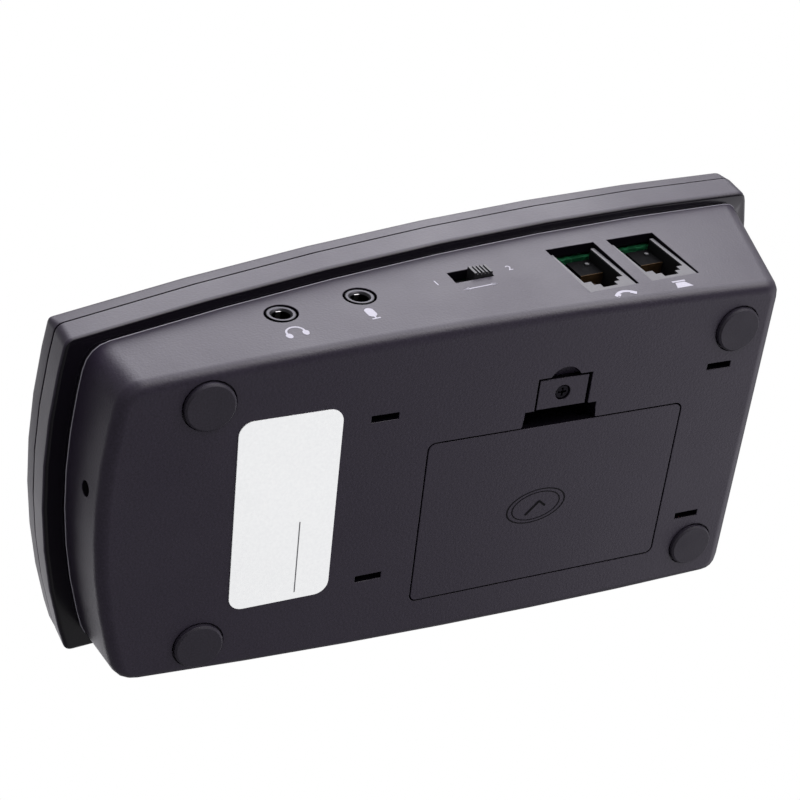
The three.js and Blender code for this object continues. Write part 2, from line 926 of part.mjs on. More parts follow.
function speakerSlots() {
  const tools = [];
  for (let index = 0; index < slotCount; index += 1) {
    const offset = (index - (slotCount - 1) / 2) * slotPitch;
    const half = Math.sqrt(slotFieldRadius ** 2 - offset ** 2);
    const [y0, y1] = [offset - slotWidth / 2, offset + slotWidth / 2];
    const slot = block(-half, half, y0, y1, -coverWall - overrun, overrun);
    tools.push(slot.applyMatrix4(coverFrame(speakerY)));
  }
  return tools;
}

function coverBosses() {
  return footPlaces().map(({ x, y }) => {
    const top = coverTopZ(y) - coverWall / 2;
    return cylinder(coverBossRadius, x, y, bossTopZ(y) + fit, top, smallCircleSteps);
  });
}

function coverBossHoles() {
  return footPlaces().map(({ x, y }) => {
    const bottom = bossTopZ(y) - overrun;
    const top = bossTopZ(y) + screwBite + fit;
    return cylinder(screwShankRadius + fit, x, y, bottom, top, smallCircleSteps);
  });
}

function stakePlaces() {
  const places = [];
  for (const y of stakeYs) {
    for (const x of [-stakeSpreadX, stakeSpreadX]) {
      places.push({ x, y: y - controlY });
    }
  }
  return places;
}

function coverStakes() {
  const shoulder = -controlDepth + fit;
  const tip = -controlDepth - controlThickness - 2 * fit;
  const roof = -coverWall / 2;
  return stakePlaces().flatMap(({ x, y }) => [
    cylinder(stakeRadius, x, y, shoulder, roof, smallCircleSteps).applyMatrix4(coverFrame(controlY)),
    cylinder(stakePin, x, y, tip, roof, smallCircleSteps).applyMatrix4(coverFrame(controlY)),
  ]);
}

function speakerCradle() {
  const outer = speakerRadius + 2 * fit + coverWall / 2;
  const wall = turned([
    [speakerRadius + fit, -coverWall - 2 * coverWall],
    [outer, -coverWall - 2 * coverWall],
    [outer, -coverWall / 2],
    [speakerRadius + fit, -coverWall / 2],
    [speakerRadius + fit, -coverWall - 2 * coverWall],
  ]);
  return wall.applyMatrix4(coverFrame(speakerY));
}

function topCover() {
  const lampHole = cylinder(lampRadius + fit, 0, 0, -overrun, overrun, smallCircleSteps);
  let body = joined(coverShell(), [...coverBosses(), ...coverStakes(), speakerCradle()]);
  body = cutBy(body, [...coverBossHoles(), ...keyHoles(), ...lensRecess(), ...speakerSlots()]);
  body = cutBy(body, [lampHole.applyMatrix4(coverFrame(lampY))]);
  piece('top_cover', geometryOf(body), housingPlastic());
}

// Feet and housing screws
function feet() {
  const top = shellBottomZ + footRecess;
  for (const { name, x, y } of footPlaces()) {
    const disc = turned([
      [0, 0],
      [footRadius - footEdge, 0],
      [footRadius, footEdge],
      [footRadius, top],
      [0, top],
    ]);
    piece(`foot_${name}`, disc.translate(x, y, 0), footRubber());
  }
}

function housingScrews() {
  for (const { name, x, y } of footPlaces()) {
    const seat = bossTopZ(y) - bossWeb;
    const screw = turned([
      [0, seat - screwHeadHeight],
      [screwHeadRadius, seat - screwHeadHeight],
      [screwHeadRadius, seat],
      [screwShankRadius, seat],
      [screwShankRadius, bossTopZ(y) + screwBite],
      [0, bossTopZ(y) + screwBite],
    ], smallCircleSteps);
    piece(`housing_screw_${name}`, screw.translate(x, y, 0), plainMetal());
  }
}

// Battery door: flat panel, two hooks on its far edge and a springy U-shaped latch tongue
function tongueShape() {
  const [inside, outside] = [doorX1 - tongueLeg, tabX0 + tongueLeg];
  const middle = (inside + outside) / 2;
  const outerRadius = (outside - inside) / 2;
  const bend = tongueRise - outerRadius;
  const [tabBottom, tabTop] = [tabRecess, tabRecess + tabThickness];
  const shape = new THREE.Shape();
  shape.moveTo(inside, doorThickness / 2);
  shape.lineTo(inside, bend);
  shape.absarc(middle, bend, outerRadius, 2 * quarter, 0, true);
  shape.lineTo(outside, tabTop);
  shape.lineTo(tabX1, tabTop);
  shape.lineTo(tabX1, tabBottom);
  shape.lineTo(tabX0, tabBottom);
  shape.lineTo(tabX0, bend);
  shape.absarc(middle, bend, outerRadius - tongueLeg, 0, 2 * quarter, false);
  shape.lineTo(doorX1, doorThickness / 2);
  return shape;
}

function batteryDoor() {
  const middleX = (doorX0 + doorX1) / 2;
  const panelShape = roundedRectangle(doorX1 - doorX0, doorLength, doorCorner);
  const panel = plate(panelShape, shellBottomZ, shellBottomZ + doorThickness);
  const tongue = new THREE.ExtrudeGeometry(tongueShape(), {
    depth: tongueWidth,
    bevelEnabled: false,
    curveSegments: roundSteps,
  });
  tongue.rotateX(quarter).translate(0, latchY + tongueWidth / 2, shellBottomZ);
  const hooks = hookPlaces().flatMap((y) => {
    const [y0, y1] = [y - hookWidth / 2, y + hookWidth / 2];
    const panelTop = shellBottomZ + doorThickness;
    const hookTop = panelTop + 2 * fit + hookThickness;
    return [
      block(doorX0 - hookReach, doorX0 + hookThickness + fit, y0, y1, panelTop + 2 * fit, hookTop),
      block(doorX0 + fit, doorX0 + hookThickness + fit, y0, y1, panelTop - fit, hookTop),
    ];
  });
  const windowTop = shellBottomZ + tongueRise + overrun;
  const tabTop = shellBottomZ + tabRecess + tabThickness;
  const half = tongueWindow / 2;
  const window = block(doorX1 + fit, tabX1, latchY - half, latchY + half, tabTop, windowTop);
  const headRoom = tabRecess + doorScrewHeadHeight + fit;
  const boreTop = shellBottomZ + headRoom;
  const counterbore = cylinder(doorScrewHeadRadius + fit, doorScrewX, latchY, -overrun, boreTop);
  const shaft = cylinder(doorScrewShankRadius + fit / 2, doorScrewX, latchY, 0, windowTop, smallCircleSteps);
  let body = joined(solid(panel.translate(middleX, doorY, 0)), [tongue, ...hooks]);
  body = cutBy(body, [window, counterbore, shaft]);
  piece('battery_door', geometryOf(body), housingPlastic());
}

function doorScrew() {
  const seat = shellBottomZ + tabRecess + doorScrewHeadHeight + fit;
  const head = seat - doorScrewHeadHeight;
  const screw = turned([
    [0, head],
    [doorScrewHeadRadius, head],
    [doorScrewHeadRadius, seat],
    [doorScrewShankRadius, seat],
    [doorScrewShankRadius, seat + doorScrewLength],
    [0, seat + doorScrewLength],
  ], smallCircleSteps);
  screw.translate(doorScrewX, latchY, 0);
  const [arm, half] = [doorScrewHeadRadius * crossReachShare, crossWidth / 2];
  const [x, y] = [doorScrewX, latchY];
  const cross = [
    block(x - arm, x + arm, y - half, y + half, head - crossDepth, head + crossDepth),
    block(x - half, x + half, y - arm, y + arm, head - crossDepth, head + crossDepth),
  ];
  piece('door_screw', geometryOf(cutBy(solid(screw), cross)), plainMetal());
}

// Two cells, laid head to tail, with a spring at one end and a plate at the other
function batteryPlaces() {
  const ribX = (batteryBox.x0 + batteryBox.x1) / 2;
  const offset = batteryRib / 2 + batteryGap + batteryRadius;
  const z = shellBottomZ + doorThickness + batteryGap + batteryRadius;
  return [
    { number: 1, x: ribX - offset, z, turn: 1 },
    { number: 2, x: ribX + offset, z, turn: -1 },
  ];
}

// Each cell's frame: +Z of the cell points along +Y or -Y, from the spring end of the box
function batteryFrame({ x, z, turn }) {
  const frame = new THREE.Matrix4().makeRotationX(-turn * quarter);
  return frame.setPosition(x, doorY - (turn * batteryBoxLength) / 2, z);
}

function springLength() {
  const cell = batteryLength + batteryNubLength;
  return batteryBoxLength - 2 * contactThickness - cell - 2 * fit;
}

function batteries() {
  const start = contactThickness + springLength() + fit;
  const shoulder = start + batteryLength;
  for (const place of batteryPlaces()) {
    const cell = turned([
      [0, start],
      [batteryRadius, start],
      [batteryRadius, shoulder - batteryShoulder],
      [batteryRadius - batteryShoulder, shoulder],
      [batteryNubRadius, shoulder],
      [batteryNubRadius, shoulder + batteryNubLength],
      [0, shoulder + batteryNubLength],
    ]);
    piece(`battery_${place.number}`, cell, coloured(0xb8bcc2, 0.35, 0.4), batteryFrame(place));
  }
}

function springCoil() {
  const turns = 4;
  const stepsPerTurn = 9;
  const sides = 5;
  const sections = [];
  const climb = springLength() + contactThickness / 2 - 2 * springWire;
  for (let step = 0; step <= turns * stepsPerTurn; step += 1) {
    const share = step / (turns * stepsPerTurn);
    const angle = share * turns * 4 * quarter;
    const radius = THREE.MathUtils.lerp(springWideRadius, springNarrowRadius, share);
    const height = contactThickness / 2 + springWire + climb * share;
    const section = [];
    for (let side = 0; side < sides; side += 1) {
      const around = (-side / sides) * 4 * quarter;
      const reach = radius + springWire * Math.cos(around);
      const lift = height + springWire * Math.sin(around);
      section.push(new THREE.Vector3(reach * Math.cos(angle), reach * Math.sin(angle), lift));
    }
    sections.push(section);
  }
  return new LoftGeometry(sections, { capStart: true, capEnd: true });
}

function batteryContacts() {
  const half = contactWidth / 2;
  const base = block(-half, half, -half, half, 0, contactThickness);
  for (const place of batteryPlaces()) {
    const spring = joined(solid(base), [springCoil()]);
    piece(`battery_spring_${place.number}`, geometryOf(spring), plainMetal(), batteryFrame(place));
    const top = batteryBoxLength;
    const flat = block(-half, half, -half, half, top - contactThickness, top);
    piece(`battery_plate_${place.number}`, flat, plainMetal(), batteryFrame(place));
  }
}

// Main board, cut to the shell's inner outline, with holes for the rear bosses and its screws
function mainBoard() {
  const outline = planOutline(shellPlan(boardHeight), shellWall + boardEdgeGap);
  const shape = new THREE.Shape(outline);
  const column = plate(shape, 0, coverTopZ(rimRearY));
  const slab = block(boardLeftX, rimHalfWidth, boardFrontY, boardRearY, 0, boardThickness);
  let body = solid(column).intersect(solid(slab.applyMatrix4(boardFrame())));
  const top = coverTopZ(rimRearY);
  const holes = footPlaces().map(({ x, y }) => {
    return cylinder(shellBossRadius + boardEdgeGap, x, y, 0, top, smallCircleSteps);
  });
  const screwHoles = boardPosts().map(({ x, y }) => {
    return cylinder(postScrewRadius + fit, x, y, 0, top, smallCircleSteps);
  });
  body = cutBy(body, [...holes, ...screwHoles]);
  piece('main_board', geometryOf(body), boardLaminate());
}

function boardScrews() {
  boardPosts().forEach(({ x, y }, index) => {
    const seat = boardZ(y) + boardThickness + fit + boardSlopeShare * postScrewHeadRadius;
    const screw = turned([
      [0, seat - boardThickness - postScrewLength],
      [postScrewRadius, seat - boardThickness - postScrewLength],
      [postScrewRadius, seat],
      [postScrewHeadRadius, seat],
      [postScrewHeadRadius, seat + postScrewHeadHeight],
      [0, seat + postScrewHeadHeight],
    ], smallCircleSteps);
    piece(`board_screw_${index + 1}`, screw.translate(x, y, 0), plainMetal());
  });
}

// Parts soldered on the board's upper face
function lineTransformer() {
  const size = transformerSize;
  const bottom = boardThickness + fit;
  const [x, y] = [size.x / 2, size.y / 2];
  const core = block(-x, x, -y, y, bottom + transformerFrame / 2, bottom + size.z);
  const inner = y - transformerFrame;
  const bobbinX = x + transformerFrame / 2;
  const bobbinTop = bottom + size.z - transformerFrame;
  const bobbin = block(-bobbinX, bobbinX, -inner, inner, bottom, bobbinTop);
  const body = joined(solid(core), [bobbin]);
  const frame = boardFrame().multiply(new THREE.Matrix4().makeTranslation(transformerX, transformerY, 0));
  piece('line_transformer', geometryOf(body), coloured(0x8d7b3a, 0.5), frame);
}

function processorChip() {
  const bottom = boardThickness + fit;
  const [x, y] = [chipSize.x / 2, chipSize.y / 2];
  const chip = block(-x, x, -y, y, bottom, bottom + chipSize.z);
  const frame = boardFrame().multiply(new THREE.Matrix4().makeTranslation(chipX, chipY, 0));
  piece('processor_chip', chip, darkPlastic(), frame);
}

function capacitor() {
  const bottom = boardThickness + fit;
  const top = bottom + capacitorHeight;
  const can = turned([
    [0, bottom],
    [capacitorRadius, bottom],
    [capacitorRadius, top - capacitorEdge],
    [capacitorRadius - capacitorEdge, top],
    [0, top],
  ], smallCircleSteps);
  const frame = boardFrame().multiply(new THREE.Matrix4().makeTranslation(capacitorX, capacitorY, 0));
  piece('capacitor', can, coloured(0x22304a, 0.4), frame);
}

// Audio jacks under the board: a black body behind the wall and a round nose in the wall's hole
function audioJack(name, y) {
  const z = jackZ(y);
  const outside = wallX(y, z - shellBottomZ);
  const front = outside - shellWall - fit;
  const half = jackWidth / 2;
  const body = block(front - jackDepth, front, y - half, y + half, z - jackBottom, z + jackTop);
  const boreEnd = front - jackDepth + shellWall;
  const bore = cylinderAlongX(jackBore, boreEnd, front + overrun, y, z, smallCircleSteps);
  piece(`${name}_jack`, geometryOf(cutBy(solid(body), [bore])), darkPlastic());
  const noseLength = outside - noseRecess - front;
  const nose = turned([
    [jackBore, 0],
    [jackNoseRadius, 0],
    [jackNoseRadius, noseLength],
    [jackNoseMouth, noseLength],
    [jackBore, noseLength - jackNoseChamfer],
    [jackBore, 0],
  ]);
  piece(`${name}_jack_nose`, nose.rotateY(quarter).translate(front, y, z), plainMetal());
}

// Source switch: a body under the board with a channel, and a ridged knob in the wall's window
function sourceSwitch() {
  const z = switchZ();
  const outside = wallX(switchY, z - shellBottomZ);
  const front = outside - shellWall - fit;
  const half = switchBodyWidth / 2;
  const [bottom, top] = [z - switchBodyHeight / 2, z + switchBodyHeight / 2 - fit];
  const body = block(front - switchBodyDepth, front, switchY - half, switchY + half, bottom, top);
  const slotHalf = switchWindowWidth / 2;
  const channelHalf = switchChannelHeight / 2;
  const channel = block(
    front - switchChannelDepth, front + overrun,
    switchY - slotHalf, switchY + slotHalf,
    z - channelHalf, z + channelHalf,
  );
  piece('source_switch', geometryOf(cutBy(solid(body), [channel])), darkPlastic());
  const travelHalf = slotHalf - knobWidth / 2 - knobEndGap;
  const [y, knobZ] = [switchY + travelHalf, z + boardSlopeShare * travelHalf];
  const tip = outside + knobProud;
  const head = block(
    front + fit, tip,
    y - knobWidth / 2, y + knobWidth / 2,
    knobZ - knobHeight / 2, knobZ + knobHeight / 2,
  );
  const stem = block(
    front - switchChannelDepth + fit, front + 2 * fit,
    y - knobStem / 2, y + knobStem / 2,
    knobZ - knobStem / 2, knobZ + knobStem / 2,
  );
  const notches = [];
  for (let index = 1; index < knobRidges; index += 1) {
    const notchY = y + knobWidth * (index / knobRidges - 1 / 2);
    notches.push(block(
      tip - knobNotch, tip + overrun,
      notchY - knobNotch / 2, notchY + knobNotch / 2,
      knobZ - knobHeight, knobZ + knobHeight,
    ));
  }
  piece('source_switch_knob', geometryOf(cutBy(joined(solid(head), [stem]), notches)), darkPlastic());
}

// Telephone sockets: an open-topped body with a stepped latch slot, and a carrier with four wires.
// They are made level and then sheared, so that they climb with the board and with their holes.
function telephoneSocket(name, y) {
  const half = socketHoleWidth / 2 - fit;
  const inner = half - socketSideWall;
  const bottom = socketMiddleZ(y) - socketHoleHeight / 2 + fit;
  const top = boardZ(y) - fit;
  const front = wallX(y, bottom - shellBottomZ) - socketRecess;
  const plugEnd = front - plugDepth;
  const floor = bottom + socketComb;
  const roof = floor + plugHeight;
  const climb = new THREE.Matrix4().makeShear(0, 0, 0, boardSlopeShare, 0, 0);
  climb.setPosition(0, 0, -boardSlopeShare * y);
  const cuts = [block(plugEnd, front + overrun, y - inner, y + inner, floor, top + overrun)];
  combWidths.forEach((width, index) => {
    const stepBottom = floor - combStep * (index + 1);
    cuts.push(block(plugEnd, front + overrun, y - width / 2, y + width / 2, stepBottom, floor + fit));
  });
  const body = cutBy(solid(block(front - socketDepth, front, y - half, y + half, bottom, top)), cuts);
  piece(`${name}_socket`, geometryOf(body).applyMatrix4(climb), darkPlastic());
  const [y0, y1] = [y - inner + fit, y + inner - fit];
  const rear = plugEnd + fit;
  const carrier = block(rear, front - carrierSetback, y0, y1, roof, top - fit);
  const additions = [block(rear, front - carrierNarrowSetback, y0 + carrierNotch, y1, roof, top - fit)];
  for (let index = 1; index <= contactCount; index += 1) {
    const wireY = THREE.MathUtils.lerp(y0, y1, index / (contactCount + 1));
    const [side, wireEnd] = [contactWire / 2, front - carrierSetback - fit];
    additions.push(block(rear + fit, wireEnd, wireY - side, wireY + side, roof - contactDrop, roof + fit));
  }
  const contacts = joined(solid(carrier), additions);
  piece(`${name}_socket_contacts`, geometryOf(contacts).applyMatrix4(climb), goldMetal());
}

// Room microphone: a rubber boot behind the port and the capsule in it
function roomMicrophone() {
  const y0 = portY() + shellWall + 3 * fit;
  const y1 = y0 + bootLength;
  const z = shellBottomZ + portHeight;
  const boot = cylinderAlongY(bootRadius, portX, y0, y1, z, circleSteps);
  const bore = cylinderAlongY(capsuleRadius + fit, portX, y0 + fit, y1 + overrun, z, circleSteps);
  const mouth = cylinderAlongY(portRadius, portX, y0 - overrun, y1, z);
  piece('microphone_boot', geometryOf(cutBy(solid(boot), [bore, mouth])), footRubber());
  const capsule = cylinderAlongY(capsuleRadius, portX, y0 + 2 * fit, y0 + 2 * fit + capsuleLength, z);
  piece('microphone_capsule', capsule, plainMetal());
}

function blankLabel() {
  const shape = roundedRectangle(labelX1 - labelX0, labelY1 - labelY0, labelCorner);
  const sheet = plate(shape, shellBottomZ - labelThickness, shellBottomZ, roundSteps);
  sheet.translate((labelX0 + labelX1) / 2, (labelY0 + labelY1) / 2, 0);
  piece('blank_label', sheet, labelPaper());
}

// Display window in the cover, and the display module below it
function displayWindow() {
  const lens = plate(roundedRectangle(lensWidth, lensLength, lensCorner), -lensThickness, 0);
  piece('display_window', lens, clearLens(), coverFrame(lensY));
}

function displayModule() {
  const top = -coverWall - fit;
  const [x, y] = [displayWidth / 2, displayLength / 2];
  const frame = block(-x, x, -y, y, top - displayThickness, top);
  const [glassX, glassY] = [x - displayBezel, y - displayBezel];
  const glass = block(-glassX, glassX, -glassY, glassY, top - displayStep, top + overrun);
  const body = geometryOf(cutBy(solid(frame), [glass]));
  piece('display_module', body, coloured(0x7f8a74, 0.3), coverFrame(lensY));
}

// A key: cap above the cover, flange below it and a foot over its dome
function roundedRing(width, length, radius, z) {
  const points = roundedRectangle(width, length, radius).getPoints(keyCornerSteps);
  points.pop();
  return points.map((point) => new THREE.Vector3(point.x, point.y, z));
}

function keyGeometry() {
  const flange = -coverWall - fit;
  const foot = flange - keyFlangeThickness - keyFoot;
  const wide = 2 * keyFlange;
  const keyShoulder = keyProud - keyEdge * keyEdgeDropShare;
  const footWidth = keyWidth / 2;
  const footLength = keyLength / 2;
  const footCorner = keyCorner / 2;
  const rings = [
    roundedRing(footWidth, footLength, footCorner, foot),
    roundedRing(footWidth, footLength, footCorner, flange - keyFlangeThickness),
    roundedRing(keyWidth + wide, keyLength + wide, keyCorner, flange - keyFlangeThickness),
    roundedRing(keyWidth + wide, keyLength + wide, keyCorner, flange),
    roundedRing(keyWidth, keyLength, keyCorner, flange),
    roundedRing(keyWidth, keyLength, keyCorner, keyProud - keyEdge),
    roundedRing(keyWidth - keyEdge, keyLength - keyEdge, keyCorner - keyEdge / 2, keyShoulder),
    roundedRing(keyWidth - 2 * keyEdge, keyLength - 2 * keyEdge, keyCorner - keyEdge, keyProud),
  ];
  return new LoftGeometry(rings, { capStart: true, capEnd: true });
}

function keys() {
  for (const { name, x, y } of keyPlaces()) {
    const frame = coverFrame(y).multiply(new THREE.Matrix4().makeTranslation(x, 0, 0));
    piece(name, keyGeometry(), keyPlastic(), frame);
  }
}

// Control board on the cover's stakes, and the rubber mat with a dome under each key
function controlBoard() {
  const [y0, y1] = [controlFrontY - controlY, controlRearY - controlY];
  const top = -controlDepth;
  const slab = block(-controlHalfWidth, controlHalfWidth, y0, y1, top - controlThickness, top);
  const frame = coverFrame(controlY);
  const pinHoles = stakePlaces().map(({ x, y }) => {
    const hole = cylinder(stakePin + fit, x, y, top - overrun, top + overrun, smallCircleSteps);
    return hole.applyMatrix4(frame);
  });
  const bossHoles = footPlaces().map(({ x, y }) => {
    return cylinder(coverBossRadius + 2 * fit, x, y, 0, coverTopZ(rimRearY), smallCircleSteps);
  });
  const body = cutBy(solid(slab.applyMatrix4(frame)), [...pinHoles, ...bossHoles]);
  piece('control_board', geometryOf(body), boardLaminate());
}

function keyMat() {
  const bottom = -controlDepth + fit;
  const top = bottom + matThickness;
  const halfX = keyPitchX + keyWidth / 2;
  const reach = keyLength / 2 + matMargin;
  const [y0, y1] = [Math.min(...keyRowYs) - reach - controlY, Math.max(...keyRowYs) + reach - controlY];
  const sheet = block(-halfX, halfX, y0, y1, bottom, top);
  const domes = keyPlaces().map(({ x, y }) => {
    const domeTop = domeRadius * domeTopShare;
    const dome = new THREE.CylinderGeometry(domeTop, domeRadius, domeHeight + fit, domeSteps);
    return dome.rotateX(quarter).translate(x, y - controlY, top + domeHeight / 2 - fit / 2);
  });
  piece('key_mat', geometryOf(joined(solid(sheet), domes)), siliconeRubber(), coverFrame(controlY));
}

function recordLamp() {
  const flange = -coverWall - fit;
  const lamp = turned([
    [0, -lampLength],
    [lampRadius, -lampLength],
    [lampRadius, flange - keyFlangeThickness],
    [lampFlange, flange - keyFlangeThickness],
    [lampFlange, flange],
    [lampRadius, flange],
    [lampRadius, 0],
    [lampRadius * lampDomeShares[0], lampDome * lampDomeShares[1]],
    [0, lampDome],
  ], smallCircleSteps);
  piece('record_lamp', lamp, coloured(0xa01818, 0.25), coverFrame(lampY));
}

// Loudspeaker: frame, magnet and an open cone that faces the slots
function loudspeaker() {
  const top = -coverWall - 2 * fit;
  const [outer, magnet] = [speakerRadius, magnetRadius];
  const rim = speakerStep;
  const driver = turned([
    [0, top - speakerDepth],
    [magnet, top - speakerDepth],
    [magnet, top - speakerDepth + magnetDepth],
    [outer - 2 * rim, top - 2 * rim],
    [outer, top - 2 * rim],
    [outer, top],
    [outer - 2 * rim, top],
    [outer - 3 * rim, top - rim],
    [magnet, top - 4 * rim],
    [magnet / 2, top - 3 * rim],
    [0, top - 2 * rim - rim / 2],
  ]);
  piece('loudspeaker', driver, coloured(0x2b2b2e, 0.6), coverFrame(speakerY));
}

bottomShell();
rimFrame();
topCover();
feet();
housingScrews();
batteryDoor();
doorScrew();
batteries();
batteryContacts();
mainBoard();
boardScrews();
lineTransformer();
processorChip();
capacitor();
audioJack('headphone', phonesJackY);
audioJack('microphone', microphoneJackY);
sourceSwitch();
socketYs().forEach((y, index) => telephoneSocket(['handset', 'line'][index], y));
roomMicrophone();
blankLabel();
displayWindow();
displayModule();
keys();
controlBoard();
keyMat();
recordLamp();
loudspeaker();

export default recorder;
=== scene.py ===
import math

import bmesh
import bpy
from mathutils import Matrix, Vector
from mathutils.bvhtree import BVHTree


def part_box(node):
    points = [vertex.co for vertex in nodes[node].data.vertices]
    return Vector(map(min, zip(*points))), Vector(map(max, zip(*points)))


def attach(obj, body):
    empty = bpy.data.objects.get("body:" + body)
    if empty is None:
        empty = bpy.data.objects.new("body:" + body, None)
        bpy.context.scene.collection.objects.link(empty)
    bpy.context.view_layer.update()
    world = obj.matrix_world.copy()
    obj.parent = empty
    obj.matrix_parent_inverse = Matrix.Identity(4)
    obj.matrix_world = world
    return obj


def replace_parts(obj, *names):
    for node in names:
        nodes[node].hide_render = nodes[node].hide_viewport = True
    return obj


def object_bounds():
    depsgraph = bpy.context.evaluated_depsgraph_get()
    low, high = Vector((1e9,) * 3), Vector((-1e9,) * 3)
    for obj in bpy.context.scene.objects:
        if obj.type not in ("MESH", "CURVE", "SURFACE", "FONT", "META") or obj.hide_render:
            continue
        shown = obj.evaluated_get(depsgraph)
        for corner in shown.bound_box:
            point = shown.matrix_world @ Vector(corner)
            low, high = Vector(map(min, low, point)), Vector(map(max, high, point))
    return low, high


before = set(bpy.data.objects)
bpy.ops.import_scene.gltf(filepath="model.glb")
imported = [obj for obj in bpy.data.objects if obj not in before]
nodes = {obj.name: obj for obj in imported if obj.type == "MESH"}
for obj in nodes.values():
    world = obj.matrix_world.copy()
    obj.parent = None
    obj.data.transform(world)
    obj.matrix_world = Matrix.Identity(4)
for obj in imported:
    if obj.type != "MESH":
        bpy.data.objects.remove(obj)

cad_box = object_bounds()


# Camera: below the recorder, looking up at its underside and at the wall with the sockets.
# It is a plain lens on a level-free mount, so its picture-right and picture-up axes are given.
camera_place = Vector((0.1917, -0.16055, -0.2534))
camera_right = Vector((0.09894772, 0.9008148, -0.42277897))
camera_up = Vector((0.85811858, 0.13787021, 0.49459509))
camera_lens = 77.43
camera_sensor = 36.0
camera_near = 0.01
camera_far = 20.0

camera_data = bpy.data.cameras.new("photo_camera")
camera_data.lens = camera_lens
camera_data.sensor_width = camera_sensor
camera_data.clip_start = camera_near
camera_data.clip_end = camera_far
camera = bpy.data.objects.new("photo_camera", camera_data)
bpy.context.scene.collection.objects.link(camera)
camera_back = camera_right.cross(camera_up)
camera_turn = Matrix((camera_right, camera_up, camera_back)).transposed().to_4x4()
camera.matrix_world = Matrix.Translation(camera_place) @ camera_turn
bpy.context.scene.camera = camera


fine_grain = 2600.0                  # bumps per metre
slow_patches = 45.0                  # patches per metre
noise_span = (0.3, 0.7)              # nearly all of a noise's values lie between these
patch_share = 0.4                    # of the patches in a tone, where the fine specks have the rest

same_place = 0.00001
flat_angle = math.radians(0.3)       # edges that turn by less are inside a flat face
sharp_angle = math.radians(36.0)     # edges that turn by more are shaded sharp
worn_angle = math.radians(38.0)      # edges that turn by more are rounded
look_start = 0.00015                 # a look from a face starts this far off it
look_reach = 0.2
level_up = 0.9                       # a normal's Z on faces that look up


def add_node(tree, kind, sockets=None, **settings):
    """Puts one node in the tree. A socket value is either a number or colour, or an output to link."""
    made = tree.nodes.new(kind)
    for key, value in settings.items():
        setattr(made, key, value)
    for key, value in (sockets or {}).items():
        if isinstance(value, bpy.types.NodeSocket):
            tree.links.new(value, made.inputs[key])
        else:
            made.inputs[key].default_value = value
    return made


def mapped(tree, value, low, high, first=0.0, last=1.0):
    """A number that runs from first to last as the value goes from low to high."""
    sockets = {"Value": value, "From Min": low, "From Max": high, "To Min": first, "To Max": last}
    return add_node(tree, "ShaderNodeMapRange", sockets).outputs["Result"]


def mixed(tree, share, first, second):
    """A number that runs from the first to the second as the share goes from 0 to 1."""
    return add_node(tree, "ShaderNodeMix", {"Factor": share, "A": first, "B": second}).outputs["Result"]


def mixed_colour(tree, share, first, second):
    """As mixed, with two colours. Each is three numbers or an output."""
    sockets = {"Factor": share}
    for key, colour in (("A", first), ("B", second)):
        sockets[key] = colour if isinstance(colour, bpy.types.NodeSocket) else (*colour, 1.0)
    return add_node(tree, "ShaderNodeMix", sockets, data_type="RGBA").outputs["Result"]


def bumped(tree, height, depth, strength=1.0):
    """A normal that leans as if the height stood out by the depth."""
    sockets = {"Height": height, "Strength": strength, "Distance": depth}
    return add_node(tree, "ShaderNodeBump", sockets).outputs["Normal"]


def object_place(tree):
    """Where each point of the piece lies, in metres."""
    return add_node(tree, "ShaderNodeTexCoord").outputs["Object"]


def feed(tree, shader, sockets):
    """Links an output to each of the shader's sockets that are named."""
    for key, output in sockets.items():
        tree.links.new(output, shader.inputs[key])


def fed(shader, socket):
    """The output that one of the shader's sockets is fed by."""
    return shader.inputs[socket].links[0].from_socket


def grain_group():
    """Rounded bumps of an eroded mould, and slow patches of a little more or less gloss."""
    tree = bpy.data.node_groups.new("mould_grain", "ShaderNodeTree")
    for key, value in (("Grain Scale", fine_grain), ("Patch Scale", slow_patches)):
        socket = tree.interface.new_socket(key, in_out="INPUT", socket_type="NodeSocketFloat")
        socket.default_value = value
    for key in ("Height", "Patches", "Specks"):
        tree.interface.new_socket(key, in_out="OUTPUT", socket_type="NodeSocketFloat")
    given = tree.nodes.new("NodeGroupInput").outputs
    result = tree.nodes.new("NodeGroupOutput").inputs
    place = object_place(tree)
    pits = add_node(tree, "ShaderNodeTexVoronoi", {
        "Vector": place, "Scale": given["Grain Scale"]}, feature="SMOOTH_F1").outputs["Distance"]
    fine = add_node(tree, "ShaderNodeTexNoise", {
        "Vector": place, "Scale": given["Grain Scale"], "Detail": 2.0, "Roughness": 0.6}).outputs["Fac"]
    slow = add_node(tree, "ShaderNodeTexNoise", {
        "Vector": place, "Scale": given["Patch Scale"], "Detail": 3.0, "Roughness": 0.55}).outputs["Fac"]
    tree.links.new(mixed(tree, 0.5, pits, fine), result["Height"])
    tree.links.new(slow, result["Patches"])
    tree.links.new(fine, result["Specks"])
    return tree


mould_grain = grain_group()


def add_grain(tree, grain_scale=fine_grain, patch_scale=slow_patches):
    """The outputs of the mould grain at two scales."""
    scales = {"Grain Scale": grain_scale, "Patch Scale": patch_scale}
    return add_node(tree, "ShaderNodeGroup", scales, node_tree=mould_grain).outputs


def opened(material):
    """A material's node tree and its shader."""
    return material.node_tree, material.node_tree.nodes["Principled BSDF"]


def new_material(name):
    """A new material, with its node tree and its shader."""
    made = bpy.data.materials.new(name)
    made.use_nodes = True
    return made, *opened(made)


